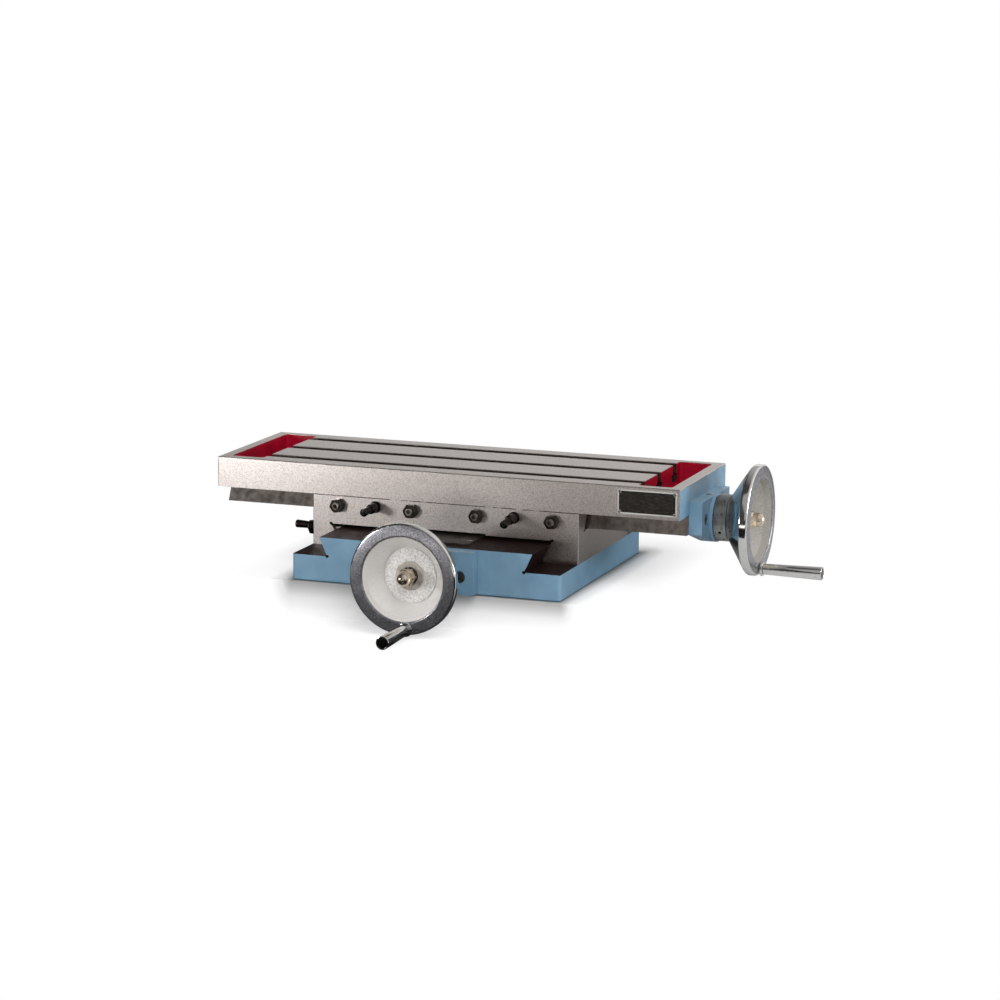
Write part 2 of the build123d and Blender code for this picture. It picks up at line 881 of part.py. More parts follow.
def make_trough_cover():
    """Flat plate over the front of the screw trough."""
    front = base_front + cover_front_gap
    outline = Rectangle(2 * cover_half_width, cover_back_y - front)
    outline = fillet(outline.vertices(), cover_corner)
    plate = extrude(Pos(0, (cover_back_y + front) / 2, base_top) * outline, cover_thickness)
    for x, y in cover_screw_places():
        plate -= Pos(x, y, base_top) * cover_screw_room()
    return plate


def cover_screw_room():
    """Countersunk hole, its top flush with the cover."""
    return revolve(
        make_face(
            Polyline(
                (0, -1),
                (cover_screw_radius, -1),
                (cover_screw_radius, cover_thickness - (cover_screw_head_radius - cover_screw_radius)),
                (cover_screw_head_radius, cover_thickness),
                (cover_screw_head_radius, cover_thickness + 1),
                (0, cover_thickness + 1),
                close=True,
            )
        ).moved(Rotation(90, 0, 0)),
        Axis.Z,
    )


def make_trough_cover_screws():
    """Countersunk slotted screws."""
    shape = make_face(
        Polyline(
            (0, -cover_screw_length),
            (cover_screw_radius, -cover_screw_length),
            (cover_screw_radius, cover_thickness - (cover_screw_head_radius - cover_screw_radius)),
            (cover_screw_head_radius, cover_thickness),
            (0, cover_thickness),
            close=True,
        )
    ).moved(Rotation(90, 0, 0))
    screw = revolve(shape, Axis.Z)
    reach = cover_screw_head_radius
    half = cover_screw_slot_width / 2
    slot_floor = cover_thickness - cover_screw_slot_depth
    screw -= block(-reach, reach, -half, half, slot_floor, cover_thickness + 1)
    return joined([Pos(x, y, base_top) * screw for x, y in cover_screw_places()])


# Feed drives, modelled along +X from their mounting face

def drive_bracket(width, top, shoulder, bottom, corner, screw_height, screw_offset):
    """Bearing bracket: a flange drawn in to a round boss, bored for the bush and drilled for its screws."""
    flange = Pos(0, (top + shoulder) / 2 - screw_height) * Rectangle(width, top - shoulder)
    flange = fillet(flange.vertices().sort_by(Axis.Y)[:2], corner)
    outline = make_face(make_hull(flange.edges() + Circle(boss_radius).edges()))
    body = extrude(Plane.YZ * outline, bracket_thickness, dir=(1, 0, 0))
    body += rod_x(boss_radius, bracket_thickness - 1, bracket_thickness + boss_length)
    body &= block(-1, 2 * bracket_thickness, -width, width, bottom - screw_height, top - screw_height)
    body -= rod_x(bush_radius, -1, bracket_thickness + boss_length + 1)
    for side in (-1, 1):
        place = Pos(0, side * screw_offset[0], screw_offset[1])
        body -= place * rod_x(bracket_screw_radius + bolt_hole_clearance, -1, bracket_thickness + 1)
        body -= place * rod_x(counterbore_radius, bracket_thickness - counterbore_depth, bracket_thickness + 1)
    body -= Pos(bracket_thickness / 2, 0, top - screw_height) * rod_z(oiler_radius, -oiler_depth, 1)
    return body


def make_bracket_screws(place, screw_offset):
    """Two socket head screws in the bracket's counterbores."""
    seat = bracket_thickness - counterbore_depth
    screw = socket_screw(
        bracket_screw_radius,
        bracket_screw_head_radius,
        bracket_screw_head_height,
        bracket_screw_length,
        bracket_screw_socket,
    )
    return joined([place * Pos(seat, side * screw_offset[0], screw_offset[1]) * screw for side in (-1, 1)])


def make_oiler(place, height):
    """Ball oiler pressed into the bracket's top."""
    body = rod_z(oiler_radius, -oiler_depth, 0) + rod_z(oiler_flange_radius, 0, oiler_flange_height)
    body = chamfer(body.edges().filter_by(GeomType.CIRCLE).sort_by(Axis.Z)[-1], oiler_flange_chamfer)
    cup_radius = oiler_ball_radius + oiler_cup_clearance
    body -= rod_z(cup_radius, oiler_flange_height - oiler_cup_depth, oiler_flange_height + 1)
    body += Pos(0, 0, oiler_flange_height - oiler_ball_sink) * Sphere(oiler_ball_radius)
    return place * Pos(bracket_thickness / 2, 0, height) * body


def make_bush():
    """Plain bronze bearing bush."""
    end = bracket_thickness + boss_length
    return rod_x(bush_radius, 0, end) - rod_x(feed_screw_radius + running_clearance, -1, end + 1)


def ring_x(outer, inner, start, end):
    """Plain ring along the X axis."""
    return rod_x(outer, start, end) - rod_x(inner, start - 1, end + 1)


def make_feed_screw(inner_end):
    """Feed screw: threaded length, thrust collar, journal, wheel seat and nut thread."""
    collar_face = -thrust_washer_thickness
    seat_start = hub_sleeve_back
    seat_end = hub_face - wheel_seat_gap
    stud_end = nut_dome_start + wheel_nut_dome_radius / 3
    body = rod_x(feed_screw_radius, inner_end, seat_start)
    body += rod_x(feed_collar_radius, collar_face - feed_collar_length, collar_face)
    body += rod_x(hub_bore_radius, seat_start, seat_end)
    body += rod_x(wheel_nut_thread_radius, seat_end, stud_end)
    body = chamfer(body.edges().filter_by(GeomType.CIRCLE).sort_by(Axis.X)[0], feed_screw_end_chamfer)
    return body - wheel_key()


def wheel_key():
    """Feather key between the screw's seat and the wheel's bore."""
    start = seat_key_start()
    half = wheel_key_width / 2
    return block(start, start + wheel_key_length, -half, half, hub_bore_radius - half, hub_bore_radius + half)


def seat_key_start():
    """Where the key begins, centred in the wheel's hub."""
    return (hub_sleeve_back + hub_face - wheel_key_length) / 2


def make_handwheel():
    """Dished handwheel: sleeve for the dial, conical back, rounded rim, stepped hub face."""
    rim_back = rim_front - rim_width
    outline = make_face(
        Polyline(
            (hub_sleeve_back, hub_bore_radius),
            (hub_sleeve_back, hub_sleeve_radius),
            (wheel_back, hub_sleeve_radius),
            (wheel_back, hub_back_radius),
            (rim_back, wheel_radius),
            (rim_front, wheel_radius),
            (rim_front - rim_face_fall, rim_inner_radius),
            (rim_front - rim_wall_depth, rim_wall_radius),
            (hub_face - hub_face_step, hub_face_radius + hub_face_groove),
            (hub_face - hub_face_step, hub_face_radius),
            (hub_face, hub_face_radius),
            (hub_face, hub_bore_radius),
            close=True,
        )
    )
    outline = fillet(nearest(outline, (rim_back, wheel_radius)), rim_round)
    outline = fillet(nearest(outline, (rim_front, wheel_radius)), rim_round)
    outline = fillet(nearest(outline, (rim_front - rim_face_fall, rim_inner_radius)), rim_inner_round)
    outline = fillet(nearest(outline, (rim_front - rim_wall_depth, rim_wall_radius)), dish_round)
    outline = fillet(nearest(outline, (wheel_back, hub_back_radius)), rim_round)
    wheel = revolve(outline, Axis.X)
    wheel -= wheel_key()
    tap = rod_x(handle_pin_radius + thread_clearance, rim_front - handle_thread_depth, rim_front + 1)
    return wheel - handle_place() * tap


def nearest(outline, point):
    """The outline's corner at a point."""
    return outline.vertices().sort_by_distance((point[0], point[1], 0))[0]


def handle_place():
    """Frame of the crank handle's axis on the rim, below the screw."""
    return Pos(0, 0, -handle_circle_radius)


def make_spring_washer():
    """Split spring washer under the wheel nut."""
    ring = ring_x(
        spring_washer_radius,
        wheel_nut_thread_radius + washer_hole_clearance,
        wheel_washer_end,
        spring_washer_end,
    )
    middle = (wheel_washer_end + spring_washer_end) / 2
    cut = Box(6 * spring_washer_thickness, spring_washer_split, spring_washer_radius)
    return ring - Pos(middle, 0, spring_washer_radius) * Rot(0, 0, spring_washer_slant) * cut


def make_wheel_nut():
    """Domed cap nut."""
    bore_end = nut_dome_start + wheel_nut_dome_radius / 2
    nut = chamfered_nut(wheel_nut_across_flats, spring_washer_end, nut_hex_end, wheel_nut_thread_radius)
    dome = rod_x(wheel_nut_dome_radius, nut_hex_end, nut_dome_start)
    dome += Pos(nut_dome_start, 0, 0) * Sphere(wheel_nut_dome_radius)
    dome -= rod_x(wheel_nut_across_flats, spring_washer_end, nut_hex_end)
    return nut + dome - rod_x(wheel_nut_thread_radius, spring_washer_end - 1, bore_end)


def make_handle_spindle():
    """Shoulder screw of the crank handle: rim thread, collar, pin and flush head."""
    collar_end = rim_front + handle_collar_thickness
    head_start = handle_end - handle_head_thickness
    collar = rod_x(handle_collar_radius, rim_front, collar_end)
    collar = chamfer(collar.edges().filter_by(GeomType.CIRCLE).sort_by(Axis.X)[-1], handle_collar_chamfer)
    pin = rod_x(handle_pin_radius, rim_front - handle_thread_depth, handle_end)
    head = rod_x(handle_head_radius, head_start, handle_end)
    return handle_place() * (collar + pin + head)


def make_handle_sleeve():
    """Tapered turning sleeve of the crank handle."""
    outline = make_face(
        Polyline(
            (handle_start, 0),
            (handle_start, handle_root_radius),
            (handle_end, handle_end_radius),
            (handle_end, 0),
            close=True,
        )
    )
    outline = fillet(nearest(outline, (handle_start, handle_root_radius)), handle_end_round)
    outline = fillet(nearest(outline, (handle_end, handle_end_radius)), handle_end_round)
    sleeve = revolve(outline, Axis.X)
    sleeve -= rod_x(handle_pin_radius + running_clearance, handle_start - 1, handle_end)
    head_room = handle_end - handle_head_thickness - handle_play
    sleeve -= rod_x(handle_head_radius + running_clearance, head_room, handle_end + 1)
    return handle_place() * sleeve


def dial_screw_rod(start, end):
    """Round bar across the dial, between two distances from its axis."""
    middle = dial_start + dial_length / 2
    return Pos(middle, 0, 0) * Rot(dial_screw_angle, 0, 0) * rod_z(dial_screw_radius, start, end)


def make_dial():
    """Graduated ring that turns on the wheel's sleeve."""
    inner = hub_sleeve_radius + dial_bore_clearance
    end = dial_start + dial_length
    ring = rod_x(dial_radius, dial_start, end)
    ring = chamfer(ring.edges().filter_by(GeomType.CIRCLE), dial_edge_chamfer)
    ring -= rod_x(inner, dial_start - 1, end + 1)
    return ring - dial_screw_rod(inner - 1, dial_radius + 1)


def make_dial_screw():
    """Grub screw that holds the dial to the wheel's sleeve."""
    tip = hub_sleeve_radius + dial_bore_clearance + dial_screw_tip_gap
    screw = dial_screw_rod(tip, tip + dial_screw_length)
    socket = Pos(dial_start + dial_length / 2, 0, 0) * Rot(dial_screw_angle, 0, 0)
    return screw - socket * rod_z(dial_screw_socket_radius, tip + dial_screw_length / 2, dial_radius)


def drive_parts(place, prefix, inner_end):
    """Everything on one feed screw, by node name."""
    hole = wheel_nut_thread_radius + washer_hole_clearance
    washer_bore = feed_screw_radius + washer_hole_clearance
    bush_end = bracket_thickness + boss_length
    pieces = {
        "feed_screw": make_feed_screw(inner_end),
        "rear_thrust_washer": ring_x(feed_collar_radius, washer_bore, -thrust_washer_thickness, 0),
        "front_thrust_washer": ring_x(thrust_washer_radius, washer_bore, bush_end, hub_sleeve_back),
        "handwheel": make_handwheel(),
        "wheel_key": wheel_key(),
        "wheel_washer": ring_x(wheel_washer_radius, hole, hub_face, wheel_washer_end),
        "spring_washer": make_spring_washer(),
        "wheel_nut": make_wheel_nut(),
        "handle_spindle": make_handle_spindle(),
        "handle_sleeve": make_handle_sleeve(),
        "dial": make_dial(),
        "dial_screw": make_dial_screw(),
        "feed_bush": make_bush(),
    }
    return {f"{prefix}_{name}": place * piece for name, piece in pieces.items()}


# All nodes

def make_parts():
    """Every sub-part by its node name."""
    parts = {
        "base_casting": make_base_casting(),
        "trough_cover": make_trough_cover(),
        "trough_cover_screws": make_trough_cover_screws(),
        "saddle_casting": make_saddle_casting(),
        "table_gib": make_table_gib(),
        "table_gib_screws": make_gib_screws(table_gib_places(), table_screw_reach()),
        "table_gib_lock_nuts": make_lock_nuts(table_gib_places(), table_lock_nut_turns),
        "saddle_gib": make_saddle_gib(),
        "saddle_gib_screws": make_gib_screws(saddle_gib_places(), saddle_screw_reach()),
        "saddle_gib_lock_nuts": make_lock_nuts(saddle_gib_places(), saddle_lock_nut_turns),
        "table_lock_plugs": make_table_lock_plugs(),
        "saddle_lock_plug": make_saddle_lock_plug(),
        "table_feed_nut": make_table_feed_nut(),
        "table_feed_nut_screws": make_feed_nut_screws(table_feed_nut_screw_places()),
        "saddle_feed_nut": make_saddle_feed_nut(),
        "saddle_feed_nut_screws": make_feed_nut_screws(saddle_feed_nut_screw_places()),
        "table_casting": make_table_casting(),
        "nameplate": make_nameplate(),
        "nameplate_rivets": make_nameplate_rivets(),
        "table_feed_bracket": table_drive
        * drive_bracket(
            table_bracket_width,
            table_bracket_top,
            table_bracket_shoulder,
            table_bracket_bottom,
            table_bracket_corner,
            table_screw_height,
            table_bracket_screw_offset,
        ),
        "table_feed_bracket_screws": make_bracket_screws(table_drive, table_bracket_screw_offset),
        "table_feed_oiler": make_oiler(table_drive, table_bracket_top - table_screw_height),
        "saddle_feed_bracket": saddle_drive
        * drive_bracket(
            saddle_bracket_width,
            saddle_bracket_top,
            saddle_bracket_bottom,
            saddle_bracket_bottom,
            saddle_bracket_corner,
            saddle_screw_height,
            saddle_bracket_screw_offset,
        ),
        "saddle_feed_bracket_screws": make_bracket_screws(saddle_drive, saddle_bracket_screw_offset),
        "saddle_feed_oiler": make_oiler(saddle_drive, saddle_bracket_top - saddle_screw_height),
    }
    for side, place, angle in zip(("left", "right"), table_lever_places(), table_lever_rest_angles):
        parts[f"table_lock_lever_{side}"] = place * lock_lever(table_stud_length(), angle)
    saddle_lever = lock_lever(saddle_stud_length(), saddle_lever_rest_angle)
    parts["saddle_lock_lever"] = saddle_lever_place() * saddle_lever
    parts |= drive_parts(table_drive, "table", table_screw_inner_end - table_right)
    turned_drive = saddle_drive * Rot(saddle_handle_rest_angle, 0, 0)
    parts |= drive_parts(turned_drive, "saddle", base_front - saddle_screw_inner_end)
    return parts


def main():
    """Write one STEP file for each node."""
    os.makedirs("parts", exist_ok=True)
    for name, piece in make_parts().items():
        export_step(piece, f"parts/{name}.step")


main()
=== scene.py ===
# %% [markdown]
# # Dressing a cross slide table
#
# A cross slide table carries work under a milling or drilling spindle. The CAD model already has every
# piece at its true size and place, so this notebook only gives the pieces what CAD leaves out: finishes,
# soft edges, screw threads, dial graduations, and the light that shows them.
#
# We load the imported model first. Its pieces arrive as fixed objects at the origin, and each belongs to a
# body that a joint may move.

import json
from math import cos, pi, radians, sin, tan, tau

import bmesh
import bpy
from mathutils import Matrix, Vector

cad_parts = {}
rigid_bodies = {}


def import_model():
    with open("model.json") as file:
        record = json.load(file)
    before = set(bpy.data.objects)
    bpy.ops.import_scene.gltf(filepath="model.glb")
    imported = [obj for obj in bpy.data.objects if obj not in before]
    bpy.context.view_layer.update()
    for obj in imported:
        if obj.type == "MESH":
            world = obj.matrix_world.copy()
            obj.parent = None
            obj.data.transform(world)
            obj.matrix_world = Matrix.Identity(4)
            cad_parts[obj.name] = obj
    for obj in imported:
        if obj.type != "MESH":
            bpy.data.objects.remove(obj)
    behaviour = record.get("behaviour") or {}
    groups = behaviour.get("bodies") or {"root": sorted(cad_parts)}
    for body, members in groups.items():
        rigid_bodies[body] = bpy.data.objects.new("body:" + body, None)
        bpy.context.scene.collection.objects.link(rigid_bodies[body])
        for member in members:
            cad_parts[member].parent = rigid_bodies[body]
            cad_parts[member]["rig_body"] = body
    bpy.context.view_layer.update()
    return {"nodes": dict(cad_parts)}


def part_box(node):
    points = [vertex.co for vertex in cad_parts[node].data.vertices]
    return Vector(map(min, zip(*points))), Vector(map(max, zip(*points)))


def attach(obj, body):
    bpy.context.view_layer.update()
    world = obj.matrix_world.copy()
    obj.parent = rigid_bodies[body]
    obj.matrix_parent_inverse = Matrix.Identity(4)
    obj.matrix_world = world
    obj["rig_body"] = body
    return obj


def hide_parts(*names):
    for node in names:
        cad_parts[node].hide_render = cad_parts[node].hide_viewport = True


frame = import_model()

# %% [markdown]
# ## The camera
#
# The picture to match was taken with a long lens from the right and a little above. The numbers below were
# solved from the corners of the table, the saddle and the base, whose sizes are known. A long lens keeps
# parallel edges nearly parallel, which suits machinery. The aim point doesn't fall in the middle of the
# picture, so we step the camera sideways by the same amount, which changes nothing else.

# %% Camera
MM = 0.001
FOCAL_PX = 3327.1
PICTURE_PX = 1000
SENSOR_MM = 36.0
azimuth, elevation, roll = radians(19.67), radians(10.84), radians(0.5)
aim = Vector((0, -391, 80)) * MM
aim_px = (373.9, 563.8)
distance = 4692.8 * MM

backward = Vector((sin(azimuth) * cos(elevation), -cos(azimuth) * cos(elevation), sin(elevation)))
level_right = Vector((cos(azimuth), sin(azimuth), 0))
level_up = backward.cross(level_right)
right = level_right * cos(roll) + level_up * sin(roll)
up = level_up * cos(roll) - level_right * sin(roll)
step_right = (aim_px[0] - PICTURE_PX / 2) / FOCAL_PX * distance
step_down = (aim_px[1] - PICTURE_PX / 2) / FOCAL_PX * distance

camera = bpy.data.objects.new("camera", bpy.data.cameras.new("camera"))
bpy.context.scene.collection.objects.link(camera)
camera.data.sensor_width = SENSOR_MM
camera.data.lens = FOCAL_PX * SENSOR_MM / PICTURE_PX
camera.data.clip_start, camera.data.clip_end = 0.1, 50
camera.matrix_world = Matrix.Translation(aim + backward * distance - right * step_right + up * step_down) @ (
    Matrix((right, up, backward)).transposed().to_4x4()
)
bpy.context.scene.camera = camera
bpy.context.scene.view_settings.view_transform = "Standard"
print("lens", round(camera.data.lens, 1), "mm, at", [round(c, 3) for c in camera.location])

# %% [markdown]
# ## Helpers for materials
#
# Blender shades in linear light, while colours are picked on screen as sRGB hex values, so one function
# turns one into the other. A second small function adds a node, sets its options and fills or connects its
# inputs. A third makes a material from a function that builds its shader.

# %% Material helpers
def colour(hex_value):
    """An sRGB hex colour as linear red, green, blue and alpha."""
    channels = [int(hex_value[i:i + 2], 16) / 255 for i in (1, 3, 5)]
    return [c / 12.92 if c <= 0.04045 else ((c + 0.055) / 1.055) ** 2.4 for c in channels] + [1.0]


def add(tree, kind, inputs=None, **options):
    """A new node with its options set, and its inputs given as values, hex colours, sockets or nodes."""
    made = tree.nodes.new(kind)
    for name, value in options.items():
        setattr(made, name, value)
    for key, value in (inputs or {}).items():
        # Some nodes hold several sockets of one name, of which the options leave one in use
        named = [socket for socket in made.inputs if socket.name == key and socket.enabled]
        socket = named[0] if named else made.inputs[key]
        if isinstance(value, bpy.types.Node):
            value = next(output for output in value.outputs if output.enabled)
        if isinstance(value, bpy.types.NodeSocket):
            tree.links.new(value, socket)
        else:
            socket.default_value = colour(value) if isinstance(value, str) else value
    return made


def new_material(name, build):
    """A material whose shader is built by a function of its node tree."""
    material = bpy.data.materials.new(name)
    material.use_nodes = True
    tree = material.node_tree
    tree.nodes.clear()
    add(tree, "ShaderNodeOutputMaterial", {"Surface": build(tree)})
    print(name, len(tree.nodes), "nodes")
    return material


print("white is", colour("#FFFFFF"))

# %% [markdown]
# ## A pattern and a surface
#
# Real surfaces vary. Two measures control that here: how large the pattern is, in millimetres, and how much
# it changes colour, gloss or height. A texture's scale counts repeats per metre, so a pattern of 2 mm has a
# scale of 500. Stretching the coordinates first turns round blotches into grinding lines. Every finish then
# asks the same of its shader: colour and roughness that drift between two values each, and a low relief.

# %% Pattern and surface
MAP_RANGE = "ShaderNodeMapRange"


def pattern(tree, size_mm, stretch=(1, 1, 1), detail=3.0, roughness=0.5):
    """Blotches about size_mm across, fixed to the part and pressed together along an axis by its stretch."""
    place = add(tree, "ShaderNodeTexCoord").outputs["Object"]
    pressed = add(tree, "ShaderNodeMapping", {"Vector": place, "Scale": stretch})
    blotches = {"Vector": pressed, "Scale": 1 / (size_mm * MM), "Detail": detail, "Roughness": roughness}
    return add(tree, "ShaderNodeTexNoise", blotches)


def surface(tree, tone, colours, gloss, rough, more, *reliefs, tone_ends=(0.35, 0.65), gloss_ends=(0.3, 0.7)):
    """A shader whose colour lies between two colours by one pattern, and its roughness by another.

    Each relief is a pattern, a depth in millimetres and a strength. More holds the other inputs.
    """
    low, high = tone_ends
    share = add(tree, MAP_RANGE, {"Value": tone, "From Min": low, "From Max": high})
    base = add(tree, "ShaderNodeMix", {"Factor": share, "A": colours[0], "B": colours[1]}, data_type="RGBA")
    low, high = gloss_ends
    between = {"From Min": low, "From Max": high, "To Min": rough[0], "To Max": rough[1]}
    roughness = add(tree, MAP_RANGE, {"Value": gloss} | between)
    normal = {}
    for height, depth_mm, strength in reliefs:
        carved = {"Height": height, "Distance": depth_mm * MM, "Strength": strength} | normal
        normal = {"Normal": add(tree, "ShaderNodeBump", carved)}
    looks = {"Base Color": base, "Roughness": roughness} | normal | more
    return add(tree, "ShaderNodeBsdfPrincipled", looks)


print("pattern and surface ready")

# %% [markdown]
# ## Surface-ground cast iron
#
# The table and the saddle are grey iron castings, planed and then ground. Grinding leaves very fine parallel
# lines, and the graphite in the iron shows as dark specks. Both are drawn two or three times wider than they
# are, or they would vanish in the picture. As a metal it takes its look from what it reflects: a middling
# roughness lets one face run from near white to brown-grey, as the lamp's broad highlight fades along it.
#
# Where iron slides on iron it is scraped by hand and oiled. A brown-black marks that oil along a seam, and
# in the table's slots and on the base's ways it stands for oil and painted shade.

# %% Ground iron and oil
METAL = {"Metallic": 1.0}


def ground_iron(tree):
    """Ground cast iron: grinding lines along X give the gloss, graphite specks the colour."""
    lines = pattern(tree, 1.3, (0.05, 1, 1), detail=4.0, roughness=0.65)
    specks = pattern(tree, 1.6, detail=4.0, roughness=0.75)
    tones, relief = ("#A19994", "#D6CFCB"), (lines, 0.02, 0.5)
    return surface(tree, specks, tones, lines, (0.34, 0.41), METAL, relief, tone_ends=(0.34, 0.56))


def way_iron(tree):
    """A scraped way under a film of slideway oil: darker, browner and a little glossier."""
    streaks = pattern(tree, 9, (1, 0.25, 1), detail=4.0)
    return surface(tree, streaks, ("#9C948E", "#C0B8B2"), streaks, (0.3, 0.42), METAL, (streaks, 0.03, 0.3))


def oil_and_painted_shade(tree, colours=("#2B1F1B", "#3B2B25"), metallic=0.0):
    """Brown-black and nearly dull: oil along a seam, and oil with painted shade in slots and on ways."""
    smears = pattern(tree, 14, detail=4.0)
    more = {"Metallic": metallic, "Specular IOR Level": 0.2}
    return surface(tree, smears, colours, smears, (0.45, 0.6), more, (smears, 0.1, 0.3))


gib_material = new_material("scraped_iron_gib", way_iron)

# %% [markdown]
# ## Machine enamel
#
# Where nothing slides, the castings are filled, rubbed down and brushed with enamel: steel blue outside and
# crimson in the end pockets. Brushed enamel isn't flat. It keeps a faint orange peel of about 1.5 mm and
# broader waves from the filler, and it is glossy enough to show both.

# %% Enamel
STEEL_BLUE = ("#7397AF", "#678AA3")
CRIMSON = ("#B6082D", "#980224")


def enamel(tree, colours):
    """Brushed machine enamel: a soft gloss over an even colour, and a clear skin that holds highlights."""
    peel = pattern(tree, 1.5, detail=2.0)
    waves = pattern(tree, 22, detail=1.0)
    clouds = pattern(tree, 40, detail=4.0)
    skin = {"Coat Weight": 0.35, "Coat Roughness": 0.2}
    return surface(tree, clouds, colours, peel, (0.28, 0.42), skin, (peel, 0.03, 0.4), (waves, 0.3, 0.3))


bracket_material = new_material("steel_blue_enamel", lambda tree: enamel(tree, STEEL_BLUE))

# %% [markdown]
# ## One casting, several finishes
#
# The table is one casting, yet its top is ground, its ends are blue, its pockets crimson and its slots dark
# with oil and painted shade. The machinist's rule decides where one finish stops: a plane at a known height
# or depth. So the material asks the same question. A box test answers 1 inside a box and 0 outside, and
# mixes two shaders.

# %% Finishes by place
MATH = "ShaderNodeMath"
FAR = 1000


def in_box(tree, low_mm, high_mm, mirror_x_mm=None):
    """1 inside a box given in millimetres and 0 outside. X counts both ways from a mirror plane, if given."""
    place = add(tree, "ShaderNodeTexCoord").outputs["Object"]
    axes = list(add(tree, "ShaderNodeSeparateXYZ", {"Vector": place}).outputs)
    if mirror_x_mm is not None:
        from_mirror = add(tree, MATH, {0: axes[0], 1: mirror_x_mm * MM}, operation="SUBTRACT")
        axes[0] = add(tree, MATH, {0: from_mirror}, operation="ABSOLUTE")
    inside = 1.0
    for axis, low, high in zip(axes, low_mm, high_mm):
        above = add(tree, MATH, {0: axis, 1: low * MM}, operation="GREATER_THAN")
        below = add(tree, MATH, {0: axis, 1: high * MM}, operation="LESS_THAN")
        between = add(tree, MATH, {0: above, 1: below}, operation="MULTIPLY")
        inside = add(tree, MATH, {0: inside, 1: between}, operation="MULTIPLY")
    return inside


def layered(tree, shader, layers):
    """The shader with others laid over it in turn, each where its mask is 1."""
    for mask, top in layers:
        shader = add(tree, "ShaderNodeMixShader", {0: mask, 1: shader, 2: top})
    return shader


def box_mm(node):
    """Lowest and highest corner of a CAD piece, in millimetres."""
    return [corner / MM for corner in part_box(node)]


table_low, table_high = box_mm("table_casting")
saddle_high = box_mm("saddle_casting")[1]
base_low, base_high = box_mm("base_casting")
print("table from", *[[round(c, 1) for c in corner] for corner in (table_low, table_high)])

# %% The saddle's finish
OIL_LINE = 1.1


def saddle_finish(tree):
    """Ground iron, with a broken line of oil where the table slides on it."""
    seam = in_box(tree, (-FAR, -FAR, saddle_high.z - OIL_LINE), (FAR, FAR, FAR))
    streaks = pattern(tree, 7, (0.3, 1, 1), detail=4.0, roughness=0.7)
    broken = add(tree, MAP_RANGE, {"Value": streaks, "From Min": 0.4, "From Max": 0.5})
    oiled = add(tree, MATH, {0: seam, 1: broken}, operation="MULTIPLY")
    return layered(tree, ground_iron(tree), [(oiled, oil_and_painted_shade(tree))])


saddle_material = new_material("ground_cast_iron", saddle_finish)

# %% The table's finishes
SLOT_PITCH, SLOT_HALF, SLOT_DEEP, SLOT_EDGE = 80.0, 15.4, 27.4, 0.9
POCKET_INNER, POCKET_OUTER, POCKET_HALF, POCKET_DEEP, POCKET_EDGE = 297.7, 350.3, 105.3, 30.5, 0.7
SLAB_DEEP = 46.2
END_SKIN, END_EDGE = 0.3, 1.3


def table_finish(tree):
    """Ground iron with oiled ways, slots of oil and painted shade, blue ends and crimson pockets. Depths
    count from the top.
    """
    top = table_high.z
    middle = (table_low + table_high) / 2
    end = (table_high.x - table_low.x) / 2 - END_SKIN
    layers = [(in_box(tree, (-FAR, -FAR, -FAR), (FAR, FAR, top - SLAB_DEEP)), way_iron(tree))]
    for offset in (-SLOT_PITCH, 0, SLOT_PITCH):
        slot_low = (-FAR, middle.y + offset - SLOT_HALF, top - SLOT_DEEP)
        slot_high = (FAR, middle.y + offset + SLOT_HALF, top - SLOT_EDGE)
        # Inside the slots a brown-black stands for oil and for painted shade in the recess.
        layers.append((in_box(tree, slot_low, slot_high), oil_and_painted_shade(tree)))
    ends = in_box(tree, (end, -FAR, top - SLAB_DEEP), (FAR, FAR, top - END_EDGE), middle.x)
    layers.append((ends, enamel(tree, STEEL_BLUE)))
    pocket_low = (POCKET_INNER, middle.y - POCKET_HALF, top - POCKET_DEEP)
    pocket_high = (POCKET_OUTER, middle.y + POCKET_HALF, top - POCKET_EDGE)
    layers.append((in_box(tree, pocket_low, pocket_high, middle.x), enamel(tree, CRIMSON)))
    return layered(tree, ground_iron(tree), layers)


table_material = new_material("ground_iron_with_painted_ends", table_finish)

# %% [markdown]
# ## The base's finishes
#
# On the base the enamel covers the four upright sides, with the front ends of the dovetail, and the trough.
# The flange's top and the dovetail are ways, oiled, and darker still as painted shade from the saddle over
# them. The foot is left as it was machined.

# %% Base finishes
FLANGE_TOP, GROOVE_BOTTOM, GROOVE_REACH, PAINTED_EDGE, FOOT = 39.6, 37.0, 165.0, 0.6, 0.3
TROUGH = ((-43.9, -168.4, 8), (43.9, 170.4, 66))
WAY_OIL_AND_PAINTED_SHADE = ("#211413", "#30201D")


def base_finish(tree):
    """Enamel, with ways dark from oil and painted shade around a painted trough, and a machined foot."""
    front, back = base_low.y + PAINTED_EDGE, base_high.y - PAINTED_EDGE
    flange = ((base_low.x + PAINTED_EDGE, front, FLANGE_TOP), (base_high.x - PAINTED_EDGE, back, FAR))
    grooves = ((-GROOVE_REACH, front, GROOVE_BOTTOM), (GROOVE_REACH, back, FAR))
    outside_trough = add(tree, MATH, {0: 1.0, 1: in_box(tree, *TROUGH)}, operation="SUBTRACT")
    layers = []
    # The ways' brown-black is oil and painted shade from the saddle over them.
    for low, high in (flange, grooves):
        ways = add(tree, MATH, {0: in_box(tree, low, high), 1: outside_trough}, operation="MULTIPLY")
        layers.append((ways, oil_and_painted_shade(tree, WAY_OIL_AND_PAINTED_SHADE, 0.4)))
    layers.append((in_box(tree, (-FAR, -FAR, -FAR), (FAR, FAR, FOOT)), ground_iron(tree)))
    return layered(tree, enamel(tree, STEEL_BLUE), layers)


base_material = new_material("enamelled_base_with_oiled_ways", base_finish)

# %% [markdown]
# ## Small metals
#
# Most small pieces are bought in, and each kind has one finish: black oxide on lock nuts and levers, bright
# plating on washers and oilers, bronze for bushes and feed nuts, brass for plugs. They differ in colour,
# roughness and texture, so one function makes them all from a few values.

